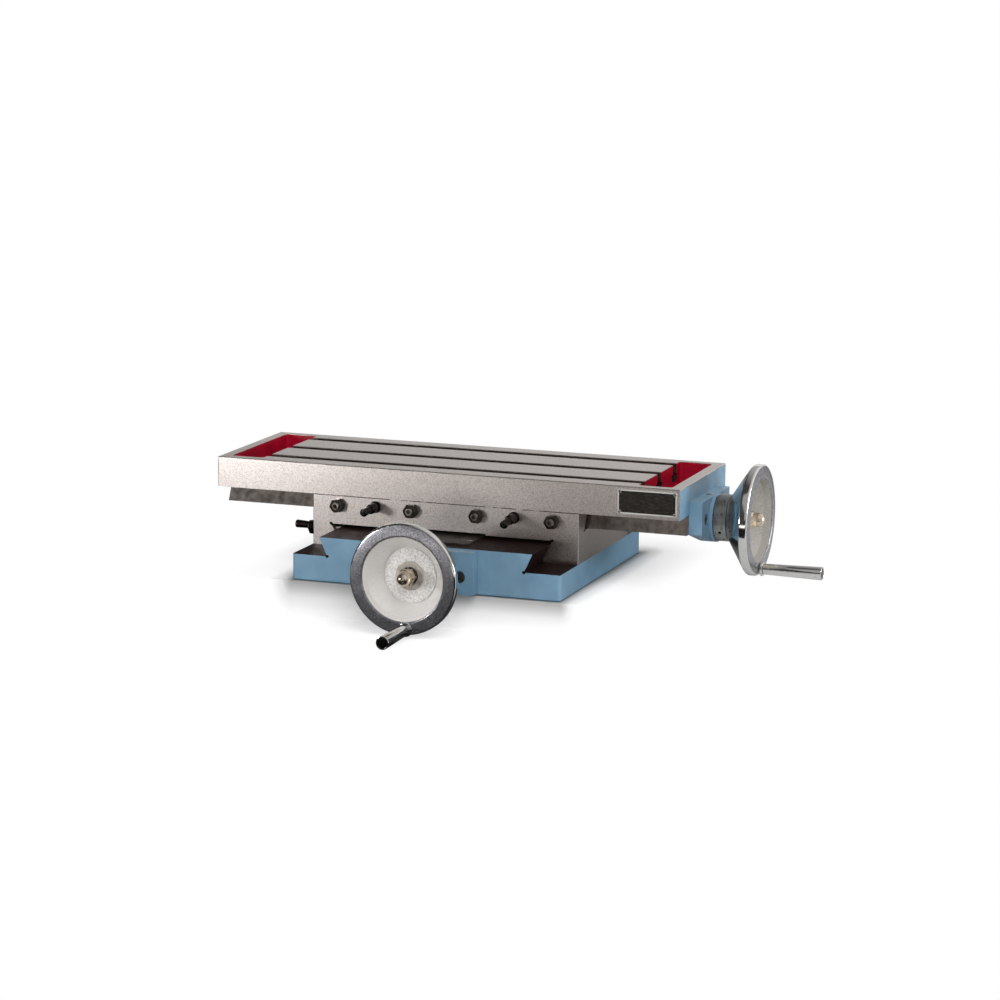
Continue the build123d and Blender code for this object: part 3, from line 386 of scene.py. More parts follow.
# %% Small metals
def small_metal(name, light, dark, rough, grain_mm=0.8, depth_mm=0.02, metallic=1.0):
    """A bought-in metal finish with slight changes of tone and gloss."""

    def shader(tree):
        grain = pattern(tree, grain_mm)
        clouds = pattern(tree, 12, detail=2.0)
        limits = (rough - 0.05, rough + 0.07)
        more = {"Metallic": metallic}
        return surface(tree, clouds, (light, dark), grain, limits, more, (grain, depth_mm, 0.4))

    return new_material(name, shader)


# Blackened in hot salts and oiled: nearly black, with soft highlights
black_oxide = small_metal("black_oxide_steel", "#4E4845", "#332E2C", 0.24)
# A pale steel grey on screw ends and heads: partly their own colour, partly a painted highlight
pale_steel_and_highlight = small_metal("worn_screw_steel", "#9A938D", "#6E6863", 0.3)
# Barrel plated zinc: pale and clean
bright_steel = small_metal("bright_plated_steel", "#CDCCC9", "#B4B2AE", 0.22)
# Plated over a blasted face: pale, warm and without mirror lines
satin_steel = small_metal("satin_plated_steel", "#D8D2C8", "#B0A89C", 0.32, 1.2, 0.05, 0.6)
# Nickel is yellower than chrome and polishes nearly as well
warm_nickel = small_metal("nickel_plated_steel", "#E6DAC8", "#CBBBA6", 0.2, 3.0, 0.01)
# Tempered after hardening: a dark brown-grey
dark_spring_steel = small_metal("tempered_spring_steel", "#5C5048", "#3E3631", 0.3)
# Straight off the lathe: mid grey with a plain gloss
turned_steel = small_metal("turned_steel", "#B9B5B0", "#98938E", 0.27)
# Cast bronze, bored and faced: brown-gold
bearing_bronze = small_metal("bearing_bronze", "#B88E50", "#9C7440", 0.34)
# Brass bar, turned: yellower and brighter than the bronze
free_cutting_brass = small_metal("free_cutting_brass", "#D9BE7A", "#C2A45E", 0.25)
# Cold rolled sheet under old oil, darker still as painted shade under the saddle, and only half a mirror
sheet_with_oil_and_shade = small_metal("oiled_steel_sheet", "#3E3835", "#2A2624", 0.42, 3.0, 0.03, 0.3)

# %% [markdown]
# ## Chromed handwheels
#
# The wheel is cast, and its rim and the back of its cone are turned and polished before plating, so there
# the chrome is a mirror. The rim's flat face is only turned, the dish only smoothed, and the hub's face stays
# as it was cast: all three are bright but more or less matte. It is one chrome all over, and what differs is
# the surface under it. The table's wheel takes a darker copy of the dish's chrome: painted shade.

# %% Handwheel finishes
def chrome(name, light, dark, rough, grain_mm, depth_mm, metallic=1.0):
    """Chrome plate over a surface of some roughness and grain. A coarse one scatters, as if less metallic."""

    def shader(tree):
        grain = pattern(tree, grain_mm, roughness=0.6)
        haze = pattern(tree, 18, detail=4.0)
        more, relief = {"Metallic": metallic}, (grain, depth_mm, 0.5)
        return surface(tree, grain, (dark, light), haze, rough, more, relief, gloss_ends=(0.35, 0.65))

    return new_material(name, shader)


SMOOTHED = {"rough": (0.38, 0.46), "grain_mm": 2.4, "depth_mm": 0.05, "metallic": 0.5}
chrome_polished = chrome("chrome_on_polished_iron", "#E2E2E0", "#DADAD8", (0.06, 0.12), 6, 0.004)
chrome_turned = chrome("chrome_on_turned_iron", "#B2B2B8", "#808086", (0.22, 0.28), 3.0, 0.04, 0.85)
chrome_smoothed = chrome("chrome_on_smoothed_casting", "#F6F4F2", "#ECEAE8", **SMOOTHED)
# A darker copy of the dish's chrome for the table's wheel: painted shade.
chrome_dish_shaded = chrome("chrome_dulled_by_hands", "#C2BFB9", "#AAA7A1", **SMOOTHED)
chrome_cast = chrome("chrome_on_cast_skin", "#F6F4F2", "#C8C5C1", (0.45, 0.55), 2.4, 0.35, 0.3)

# %% [markdown]
# ## Satin dial and nameplate
#
# A dial is turned, so its finish is a brushed ring of fine lines around the axis, plated dull so that the
# graduations read without glare. The plate is aluminium with a black anodised field inside a bright border.

# %% Dial and plate finishes
def satin_ring(name, axis):
    """Satin chrome with turning lines round an axis, drawn three times as wide, or they would vanish."""

    def shader(tree):
        lines = pattern(tree, 0.9, [1.0 if i == axis else 0.04 for i in range(3)], detail=2.0)
        more, relief = {"Metallic": 0.9}, (lines, 0.02, 0.4)
        return surface(tree, lines, ("#A4A6A6", "#808282"), lines, (0.3, 0.4), more, relief)

    return new_material(name, shader)


BORDER = 2.0
plate_low, plate_high = box_mm("nameplate")


def plate_finish(tree):
    """Anodised aluminium: a bright rolled border, and a black field with faint scratches along its length."""
    scratches = pattern(tree, 2.0, (0.3, 1, 1), detail=4.0)
    white, black = ("#E6E6E2", "#E6E6E2"), ("#17140F", "#3A352C")
    bright = surface(tree, scratches, white, scratches, (0.3, 0.5), {"Metallic": 0.7})
    dyed = surface(tree, scratches, black, scratches, (0.35, 0.5), {"Metallic": 0.3}, tone_ends=(0.45, 0.75))
    field_low = (plate_low.x + BORDER, -FAR, plate_low.z + BORDER)
    field_high = (plate_high.x - BORDER, FAR, plate_high.z - BORDER)
    return layered(tree, bright, [(in_box(tree, field_low, field_high), dyed)])


table_dial_material = satin_ring("satin_chrome_table_dial", 0)
saddle_dial_material = satin_ring("satin_chrome_saddle_dial", 1)
engraving_ink = small_metal("engraving_ink", "#1C1B1A", "#121110", 0.5, metallic=0.0)
plate_material = new_material("anodised_aluminium_plate", plate_finish)

# %% [markdown]
# ## Soft edges on the castings
#
# No real edge is perfectly sharp. A file or a stone takes half a millimetre off, and that narrow band
# catches the light and tells the eye that this is metal. A CAD mesh is a loose set of triangles, so we copy
# it, merge its corners, join the triangles of each flat face, and only then let a Bevel modifier round every
# edge that turns by more than 30 degrees. Weighted normals keep the flats flat beside the rounded edges.

# %% Copies that stand for CAD pieces
JOIN_MM = 0.005
FLAT_DEGREES = 0.5
EDGE_DEGREES = 30


def link(mesh, name):
    """A new object at the origin that shows the mesh."""
    piece = bpy.data.objects.new(name, mesh)
    bpy.context.scene.collection.objects.link(piece)
    return piece


def plain_mesh(piece):
    """A mesh of the piece as it looks with its modifiers worked out."""
    graph = bpy.context.evaluated_depsgraph_get()
    return bpy.data.meshes.new_from_object(piece.evaluated_get(graph), depsgraph=graph)


def dress(piece, materials, node, stands_in=True):
    """Gives a piece its materials and a CAD node's body, and lets it stand for that node."""
    slots = [face.material_index for face in piece.data.polygons]
    piece.data.materials.clear()
    for material in materials:
        piece.data.materials.append(material)
    if len(materials) > 1:
        piece.data.polygons.foreach_set("material_index", slots)
    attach(piece, frame["nodes"][node]["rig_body"])
    if stands_in:
        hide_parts(node)
    print(piece.name, len(piece.data.polygons), "faces")


def merged_copy(node):
    """A copy of a CAD node's mesh with its corners merged and its flat faces joined."""
    mesh = frame["nodes"][node].data.copy()
    shape = bmesh.new()
    shape.from_mesh(mesh)
    bmesh.ops.remove_doubles(shape, verts=shape.verts, dist=JOIN_MM * MM)
    bmesh.ops.dissolve_limit(shape, angle_limit=radians(FLAT_DEGREES), verts=shape.verts, edges=shape.edges)
    shape.to_mesh(mesh)
    shape.free()
    mesh.shade_smooth()
    return mesh


print("ready to copy pieces")

# %% Softened copies
FLATNESS_WEIGHT = 80
SOFTENED = {
    "table_casting": (table_material, 0.5),
    "saddle_casting": (saddle_material, 0.5),
    "base_casting": (base_material, 0.7),
    "table_feed_bracket": (bracket_material, 0.8),
    "saddle_feed_bracket": (bracket_material, 0.8),
    # The trough cover's dark tone is oil and painted shade under the saddle.
    "trough_cover": (sheet_with_oil_and_shade, 0.3),
    "nameplate": (plate_material, 0.15),
    "table_gib_lock_nuts": (black_oxide, 0.25),
    "saddle_gib_lock_nuts": (black_oxide, 0.25),
    # The screws' pale grey is partly their own, partly a painted highlight on their ends.
    "table_gib_screws": (pale_steel_and_highlight, 0.15),
    "saddle_gib_screws": (pale_steel_and_highlight, 0.15),
    "table_lock_lever_left": (black_oxide, 0.3),
    "table_lock_lever_right": (black_oxide, 0.3),
    "saddle_lock_lever": (black_oxide, 0.3),
    "table_dial": (table_dial_material, 0.3),
    "saddle_dial": (saddle_dial_material, 0.3),
}

for node, (material, edge_mm) in SOFTENED.items():
    piece = link(merged_copy(node), node + "_finished")
    rounding = piece.modifiers.new("rounding", "BEVEL")
    rounding.width = edge_mm * MM
    rounding.segments = 2
    rounding.limit_method = "ANGLE"
    rounding.angle_limit = radians(EDGE_DEGREES)
    piece.modifiers.new("flat_faces", "WEIGHTED_NORMAL").weight = FLATNESS_WEIGHT
    softened = plain_mesh(piece)
    piece.modifiers.clear()
    piece.data = softened
    dress(piece, [material], node)

# %% [markdown]
# ## Two drives, one set of turned pieces
#
# Each feed screw carries the same dial, wheel, nut and handle, once along X and once along -Y. A lathe
# turns an outline about an axis, so we describe every turned piece by distances along its axis and radii.
# A matrix for each drive then puts it in place, with its Z axis outwards along the screw.

# %% Places of the drives
OUTWARDS = {"table": Vector((1, 0, 0)), "saddle": Vector((0, -1, 0))}
SIDEWAYS = {"table": Vector((0, 1, 0)), "saddle": Vector((1, 0, 0))}


def place_on(node, drive):
    """Matrix, in metres, from an outline's own frame to the start and the direction of a CAD piece."""
    low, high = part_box(node)
    along = OUTWARDS[drive]
    half = (high - low).dot(Vector([abs(c) for c in along])) / 2
    start = (low + high) / 2 - along * half
    turn = Matrix((SIDEWAYS[drive], Vector((0, 0, 1)), along)).transposed()
    return Matrix.Translation(start) @ turn.to_4x4()


def length_mm(node, drive):
    """Length of a CAD piece along its drive's axis."""
    low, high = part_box(node)
    return abs((high - low).dot(OUTWARDS[drive])) / MM


print("table wheel at", [round(c, 4) for c in place_on("table_handwheel", "table").translation])

# %% A lathe
POLE_MM = 0.0001


def rounded(corners, default=0.4, steps=4, **radii):
    """A closed outline with its corners rounded. r3=2.0 gives the corner number 3 a radius of 2 mm."""
    path = []
    for i, corner in enumerate(corners):
        here = Vector(corner)
        back = Vector(corners[i - 1]) - here
        ahead = Vector(corners[(i + 1) % len(corners)]) - here
        reach = radii.get(f"r{i}", default) / tan(back.angle(ahead) / 2)
        reach = min(reach, 0.45 * back.length, 0.45 * ahead.length)
        start, end = here + back.normalized() * reach, here + ahead.normalized() * reach
        for step in range(steps + 1):
            t = step / steps
            path.append((1 - t) ** 2 * start + 2 * t * (1 - t) * here + t * t * end)
    return path


def lathe(name, outline, place, segments=160, flats_mm=None, finish=None):
    """A closed outline of (distance, radius) turned about an axis.

    flats_mm faces it to a hexagon of that width across flats, and finish picks each face's material slot.
    """
    shape = bmesh.new()
    rings = []
    for step in range(segments):
        turn = tau * step / segments
        widest = FAR if flats_mm is None else flats_mm / 2 / cos(turn % (tau / 6) - tau / 12)
        ring = []
        for along, radius in outline:
            radius = min(radius, widest)
            ring.append(shape.verts.new((radius * cos(turn) * MM, radius * sin(turn) * MM, along * MM)))
        rings.append(ring)
    for i, ring in enumerate(rings):
        after = rings[(i + 1) % segments]
        for j in range(len(outline)):
            k = (j + 1) % len(outline)
            face = shape.faces.new((ring[j], ring[k], after[k], after[j]))
            if finish is not None:
                along, radius = (Vector(outline[j]) + Vector(outline[k])) / 2
                face.material_index = finish(along, radius)
    bmesh.ops.remove_doubles(shape, verts=shape.verts, dist=POLE_MM * MM)
    bmesh.ops.recalc_face_normals(shape, faces=shape.faces)
    mesh = bpy.data.meshes.new(name)
    shape.to_mesh(mesh)
    shape.free()
    mesh.transform(place)
    mesh.shade_smooth()
    mesh.set_sharp_from_angle(angle=radians(EDGE_DEGREES))
    return link(mesh, name)


print("lathe ready")

# %% [markdown]
# ## Handwheels
#
# The dished wheel is the piece the eye goes to. Its outline runs from the bore over the back of the hub, up
# the outside of the cone, round the rim, down the inside of the dish and across the hub's raised face. Wide
# rounds on the rim matter most, because polished chrome draws its bright lines exactly there. The rim's face
# falls outwards by nearly five degrees, which decides whether it mirrors the near floor or the far one.

# %% Turn the handwheels
BORE, SLEEVE, HUB_BACK, HUB_FACE, HUB_GROOVE = 9, 22, 34, 40.4, 41.4
RIM_OUTER, RIM_LIP, RIM_INNER = 82.5, 63, 59.4
SLEEVE_END, CONE_END, RIM_EDGE, RIM_TOP = 17, 49.4, 61.2, 62.8
DISH_EDGE, DISH_FLOOR, HUB_TOP = 50, 28, 30
CONE_SLOPE, WALL = 1.5, 5
POLISHED, TURNED, DISH, CAST = range(4)

WHEEL = rounded(
    [(0, BORE), (0, SLEEVE), (SLEEVE_END, SLEEVE), (SLEEVE_END, HUB_BACK), (CONE_END, RIM_OUTER),
     (RIM_EDGE, RIM_OUTER), (RIM_TOP, RIM_LIP), (DISH_EDGE, RIM_INNER), (DISH_FLOOR, HUB_GROOVE),
     (DISH_FLOOR, HUB_FACE), (HUB_TOP, HUB_FACE), (HUB_TOP, BORE)],
    steps=8, r3=3.0, r4=5.0, r5=4.0, r6=3.0, r7=5.0,
)


def wheel_finish(along, radius):
    """Slot of the finish at a place on the wheel. Each limit stands a little beyond the corner it uses."""
    behind = HUB_BACK + CONE_SLOPE * (along - SLEEVE_END) - WALL < radius
    if along > DISH_FLOOR - 1 and radius < HUB_FACE + 0.6:
        return CAST
    if along > DISH_FLOOR - 1 and radius < RIM_LIP - 1.5 and not behind:
        return DISH
    return TURNED if along > RIM_EDGE - 1.7 and radius < RIM_OUTER - 2.5 else POLISHED


# The table's wheel takes the darker copy of the dish: painted shade.
for drive, dish in (("table", chrome_dish_shaded), ("saddle", chrome_smoothed)):
    node = drive + "_handwheel"
    piece = lathe(node + "_turned", WHEEL, place_on(node, drive), finish=wheel_finish)
    dress(piece, [chrome_polished, chrome_turned, dish, chrome_cast], node)

# %% [markdown]
# ## Washers, cap nuts and handles
#
# The cap nut is hexagon bar that a lathe has faced and domed. The same happens here: the outline gives the
# lathe's radius, and the bar's flats cut it wherever the radius would stand outside the hexagon, which leaves
# the curved corners that every real nut has. The handle is a plain taper that is turned and polished.

# %% Outlines of the cap nut and the washer
NUT_FLATS, NUT_CORNER, NUT_NECK, HEX_END, DOME_START = 24.0, 13.9, 11, 13, 19
WASHER_HOLE, WASHER_RADIUS, WASHER_THICK = 8.6, 21.5, 3


def dome(start, reach, radius, steps=10):
    """Outline points of a domed end."""
    turns = [pi / 2 * i / steps for i in range(steps + 1)]
    return [(start + reach * sin(turn), radius * cos(turn)) for turn in turns]


# Both ends of the hexagon are chamfered, and a short cone leads to the neck under the dome
hexagon = [(0, 0), (0, 12.1), (0.9, NUT_CORNER), (HEX_END - 1.4, NUT_CORNER), (HEX_END, 11.9)]
neck = [(HEX_END + 0.4, 11.2), (DOME_START - 0.4, NUT_NECK)]
ring = rounded(
    [(0, WASHER_HOLE), (0, WASHER_RADIUS), (WASHER_THICK, WASHER_RADIUS), (WASHER_THICK, WASHER_HOLE)], 0.5
)
print("cap nut", NUT_FLATS, "mm across flats")

# %% Turn the nuts, washers and handles
PIN, HEAD, COLLAR, COLLAR_START, COLLAR_END, HEAD_THICK = 5, 8, 10.5, 11, 15, 4
GRIP_BORE, GRIP_ROOT, GRIP_TIP, GRIP_MOUTH, MOUTH_DEEP = 5.4, 8, 10, 8.2, 4.2


def spindle_finish(along, radius):
    """Slot of the finish at a place on the spindle: 0 polished at the collar, 1 black at the head."""
    return int(along > COLLAR_END + 5)


for drive in OUTWARDS:
    node = drive + "_wheel_nut"
    top = dome(DOME_START, length_mm(node, drive) - DOME_START, NUT_NECK)
    piece = lathe(node + "_turned", hexagon + neck + top, place_on(node, drive), 96, NUT_FLATS)
    dress(piece, [warm_nickel], node)
    node = drive + "_wheel_washer"
    dress(lathe(node + "_turned", ring, place_on(node, drive), 96), [satin_steel], node)
    node = drive + "_handle_spindle"
    end = length_mm(node, drive)
    pin = rounded(
        [(0, 0), (0, PIN), (COLLAR_START, PIN), (COLLAR_START, COLLAR), (COLLAR_END, COLLAR),
         (COLLAR_END, PIN), (end - HEAD_THICK, PIN), (end - HEAD_THICK, HEAD), (end, HEAD), (end, 0)],
        0.01, r3=1.0, r4=1.0, r8=0.6,
    )
    piece = lathe(node + "_turned", pin, place_on(node, drive), 64, finish=spindle_finish)
    dress(piece, [chrome_polished, black_oxide], node)
    node = drive + "_handle_sleeve"
    end = length_mm(node, drive)
    grip = rounded(
        [(0, GRIP_BORE), (0, GRIP_ROOT), (end, GRIP_TIP), (end, GRIP_MOUTH), (end - MOUTH_DEEP, GRIP_MOUTH),
         (end - MOUTH_DEEP, GRIP_BORE)],
        0.2, r1=1.2, r2=1.2,
    )
    dress(lathe(node + "_turned", grip, place_on(node, drive), 96), [chrome_polished], node)

# %% [markdown]
# ## Screw threads
#
# A thread is a ridge that climbs a cylinder along a helix. Geometry Nodes can say just that: a spiral curve
# is the path, a small trapezoid is the cutter's profile, and Curve to Mesh sweeps one along the other. The
# sizes are inputs, so the recipe would cut any thread, and here it cuts the 5 mm lead of both feed screws.
# The result becomes a plain mesh before it rides on a body.

# %% Geometry Nodes helpers
def new_recipe(name, inputs):
    """An empty Geometry Nodes tree with named inputs, and the sockets that hand them out."""
    tree = bpy.data.node_groups.new(name, "GeometryNodeTree")
    tree.interface.new_socket("Geometry", in_out="OUTPUT", socket_type="NodeSocketGeometry")
    for label, kind in inputs.items():
        tree.interface.new_socket(label, in_out="INPUT", socket_type="NodeSocket" + kind)
    return tree, add(tree, "NodeGroupInput").outputs


def end_recipe(tree, geometry, material):
    """Ends a recipe and returns it: instances become real, take the material and leave the tree."""
    real = add(tree, "GeometryNodeRealizeInstances", {"Geometry": geometry})
    painted = add(tree, "GeometryNodeSetMaterial", {"Geometry": real, "Material": material})
    add(tree, "NodeGroupOutput", {"Geometry": painted})
    print(tree.name, len(tree.nodes), "nodes")
    return tree


def run_recipe(tree, name, **values):
    """A plain mesh from the recipe, with its inputs set by their identifiers."""
    piece = link(bpy.data.meshes.new(name), name)
    modifier = piece.modifiers.new("recipe", "NODES")
    modifier.node_group = tree
    for item in tree.interface.items_tree:
        if item.in_out == "INPUT":
            modifier[item.identifier] = values[item.name.lower().replace(" ", "_")]
    mesh = plain_mesh(piece)
    bpy.data.objects.remove(piece)
    return mesh


def one_mesh(name, meshes):
    """One mesh from several."""
    shape = bmesh.new()
    for mesh in meshes:
        shape.from_mesh(mesh)
    joined = bpy.data.meshes.new(name)
    shape.to_mesh(joined)
    shape.free()
    joined.shade_smooth()
    joined.set_sharp_from_angle(angle=radians(EDGE_DEGREES))
    return joined


print("recipe helpers ready")

# %% The thread recipe
# The profile's middle sits a little under half its height over the core, so that its root sinks in
SUNK_MIDDLE = 0.45
sizes = dict.fromkeys(("Core Radius", "Rise", "Root", "Crest", "Lead", "Turns"), "Float")
tree, given = new_recipe("screw_thread", sizes | {"Steps": "Int", "Material": "Material"})
height = add(tree, MATH, {0: given["Lead"], 1: given["Turns"]}, operation="MULTIPLY")
middle = add(tree, MATH, {0: given["Rise"], 1: SUNK_MIDDLE}, operation="MULTIPLY")
path_radius = add(tree, MATH, {0: given["Core Radius"], 1: middle}, operation="ADD")
turns = {"Resolution": given["Steps"], "Rotations": given["Turns"], "Height": height}
radii = {"Start Radius": path_radius, "End Radius": path_radius}
helix = add(tree, "GeometryNodeCurveSpiral", turns | radii)
upright = add(tree, "GeometryNodeSetCurveNormal", {"Curve": helix}, mode="Z_UP")
profile = {"Bottom Width": given["Root"], "Top Width": given["Crest"], "Height": given["Rise"], "Offset": 0.0}
cutter = add(tree, "GeometryNodeCurvePrimitiveQuadrilateral", profile, mode="TRAPEZOID")
swept = {"Curve": upright, "Profile Curve": cutter, "Fill Caps": True}
ridge = add(tree, "GeometryNodeCurveToMesh", swept)
thread_recipe = end_recipe(tree, ridge, given["Material"])

# %% Threads on the feed screws
LEAD, MAJOR, CORE, ROOT, CREST = 5.0, 10.0, 7.6, 3.4, 1.8
COLLAR_LENGTH, OVERRUN = 12.0, 0.1


def thin_core(mesh, place, length):
    """Takes the screw down to its core radius over its threaded length."""
    there = place.inverted()
    for vertex in mesh.vertices:
        spot = there @ vertex.co
        radius = spot.xy.length
        if spot.z < length and CORE * MM < radius < (MAJOR + OVERRUN) * MM:
            spot.xy *= CORE * MM / radius
            vertex.co = place @ spot


for drive in OUTWARDS:
    node = drive + "_feed_screw"
    outer = place_on(node, drive)
    washer = place_on(drive + "_rear_thrust_washer", drive)
    threaded = (outer.inverted() @ washer.translation).z - COLLAR_LENGTH * MM
    piece = link(merged_copy(node), node + "_core")
    thin_core(piece.data, outer, threaded + OVERRUN * MM)
    thread = run_recipe(
        thread_recipe, node + "_thread", core_radius=CORE * MM, rise=(MAJOR - CORE) * MM, root=ROOT * MM,
        crest=CREST * MM, lead=LEAD * MM, turns=threaded / (LEAD * MM) - 1.0, steps=32, material=turned_steel,
    )
    thread.transform(outer @ Matrix.Translation((0, 0, LEAD / 2 * MM)))
    piece.data = one_mesh(node + "_finished", [piece.data, thread])
    dress(piece, [turned_steel], node)

# %% [markdown]
# ## Dial graduations
#
# A dial is divided on an indexing head: the blank turns by one hundredth and the cutter marks a line, longer
# at each fifth and tenth. A recipe says the same in nodes. It lays out points by their number, sets a thin
# bar on each and stretches it by the number's remainder. The figures count tens and wrap round the dial.

# %% The graduation recipe
sizes = dict.fromkeys(("Radius", "Width", "Proud", "Start", "Short", "Long"), "Float")
tree, given = new_recipe("dial_marks", sizes | {"Count": "Int", "Material": "Material"})

# Where each line stands round the dial
number = add(tree, "GeometryNodeInputIndex")
share = add(tree, MATH, {0: number, 1: given["Count"]}, operation="DIVIDE")
turned = add(tree, MATH, {0: share, 1: tau}, operation="MULTIPLY")
turn = add(tree, MATH, {0: pi / 2, 1: turned}, operation="SUBTRACT")
cosine = add(tree, MATH, {0: turn}, operation="COSINE")
sine = add(tree, MATH, {0: turn}, operation="SINE")
across = add(tree, MATH, {0: given["Radius"], 1: cosine}, operation="MULTIPLY")
upward = add(tree, MATH, {0: given["Radius"], 1: sine}, operation="MULTIPLY")

# How long it is: short, longer at a fifth, longest at a tenth, which is both
rank = 0.0
for every in (5.0, 10.0):
    remainder = add(tree, MATH, {0: number, 1: every}, operation="MODULO")
    reached = add(tree, MATH, {0: remainder, 1: 0.0, 2: 0.1}, operation="COMPARE")
    rank = add(tree, MATH, {0: reached, 1: 0.5, 2: rank}, operation="MULTIPLY_ADD")
reach = add(tree, MATH, {0: given["Long"], 1: given["Short"]}, operation="SUBTRACT")
length = add(tree, MATH, {0: reach, 1: rank, 2: given["Short"]}, operation="MULTIPLY_ADD")
along = add(tree, MATH, {0: length, 1: 0.5, 2: given["Start"]}, operation="MULTIPLY_ADD")

# A thin bar on each point, turned to face outwards
spot = add(tree, "ShaderNodeCombineXYZ", {"X": across, "Y": upward, "Z": along})
points = add(tree, "GeometryNodePoints", {"Count": given["Count"], "Position": spot})
size = add(tree, "ShaderNodeCombineXYZ", {"X": given["Proud"], "Y": given["Width"], "Z": 1.0})
bar = add(tree, "GeometryNodeMeshCube", {"Size": size})
facing = add(tree, "ShaderNodeCombineXYZ", {"Z": turn})
stretch = add(tree, "ShaderNodeCombineXYZ", {"X": 1.0, "Y": 1.0, "Z": length})
copies = {"Points": points, "Instance": bar, "Rotation": facing, "Scale": stretch}
marks = add(tree, "GeometryNodeInstanceOnPoints", copies)
mark_recipe = end_recipe(tree, marks, given["Material"])

# %% Mark the dials
DIAL_RADIUS, DIAL_LINES, DIAL_FIGURES = 35.0, 100, 10
FIGURE_HEIGHT, FIGURE_FOOT, FIGURE_PROUD = 4.5, 14.5, 0.05


def figure(text, angle):
    """A number bent round the dial, its middle at an angle, its head towards the bracket."""
    writing = bpy.data.curves.new("figure", "FONT")
    writing.body = text
    writing.size = FIGURE_HEIGHT
    writing.align_x = "CENTER"
    writing.extrude = FIGURE_PROUD
    holder = link(writing, "figure")
    mesh = plain_mesh(holder)
    bpy.data.objects.remove(holder)
    for vertex in mesh.vertices:
        x, y, z = vertex.co
        turn = angle - x / DIAL_RADIUS
        radius = DIAL_RADIUS + z
        vertex.co = Vector((radius * cos(turn), radius * sin(turn), FIGURE_FOOT - y)) * MM
    return mesh


for drive in OUTWARDS:
    lines = run_recipe(
        mark_recipe, drive + "_dial_lines", count=DIAL_LINES, radius=DIAL_RADIUS * MM, width=0.3 * MM,
        proud=0.1 * MM, start=1.2 * MM, short=4.0 * MM, long=8.0 * MM, material=engraving_ink,
    )
    figures = [figure(str(10 * tens), pi / 2 - tens * tau / DIAL_FIGURES) for tens in range(DIAL_FIGURES)]
    piece = link(one_mesh(drive + "_dial_marks", [lines] + figures), drive + "_dial_marks")
    piece.data.transform(place_on(drive + "_dial", drive))
    dress(piece, [engraving_ink], drive + "_dial", stands_in=False)

# %% [markdown]
# ## Pieces that only need their finish
#
# Small or half hidden pieces are right as they come. They keep their CAD mesh and get a material.

# %% Finishes on CAD pieces
FINISHED = {
    "trough_cover_screws": bright_steel,
    "table_gib": gib_material,
    "saddle_gib": gib_material,
    "table_lock_plugs": free_cutting_brass,
    "saddle_lock_plug": free_cutting_brass,
    "nameplate_rivets": bright_steel,
}
for drive in OUTWARDS:
    FINISHED |= {
        f"{drive}_feed_nut": bearing_bronze,
        f"{drive}_feed_nut_screws": black_oxide,
        # Pale grey on the bracket screws' heads: partly their own, partly a painted highlight.
        f"{drive}_feed_bracket_screws": pale_steel_and_highlight,
        f"{drive}_feed_bush": bearing_bronze,
        f"{drive}_feed_oiler": bright_steel,
        f"{drive}_rear_thrust_washer": bright_steel,
        f"{drive}_front_thrust_washer": bright_steel,
        f"{drive}_wheel_key": turned_steel,
        f"{drive}_spring_washer": dark_spring_steel,
        f"{drive}_dial_screw": black_oxide,
    }
for node, material in FINISHED.items():
    mesh = frame["nodes"][node].data
    mesh.materials.clear()
    mesh.materials.append(material)
    mesh.shade_smooth()
    mesh.set_sharp_from_angle(angle=radians(EDGE_DEGREES))
print(len(FINISHED), "CAD pieces finished")

# %% [markdown]
# ## Bench and floor
#
# The front handwheel hangs below the base, so the base stands on a low bench and the floor is lower still.
# Both are pale and matte. To the camera they add light of their own, none at the base's foot and more
# further off, so that the part's soft shadow stays and the paper runs into the white background without a
# horizon. Close to the foot the paper's own colour is darker: a painted contact shadow. Metal sees dark
# paper in front of it and pale paper to its right, which shades its sides as they are in the photograph.

# %% Paper
VECTOR = "ShaderNodeVectorMath"
FOOTPRINT = Vector((base_high.x, base_high.y, 0)) * MM
# The shadow is shorter at the base's ends than at its front, so distance counts for more there
ENDWAYS = (1.6, 1, 1)
RIGHTWARDS = (1, -0.3, 0)


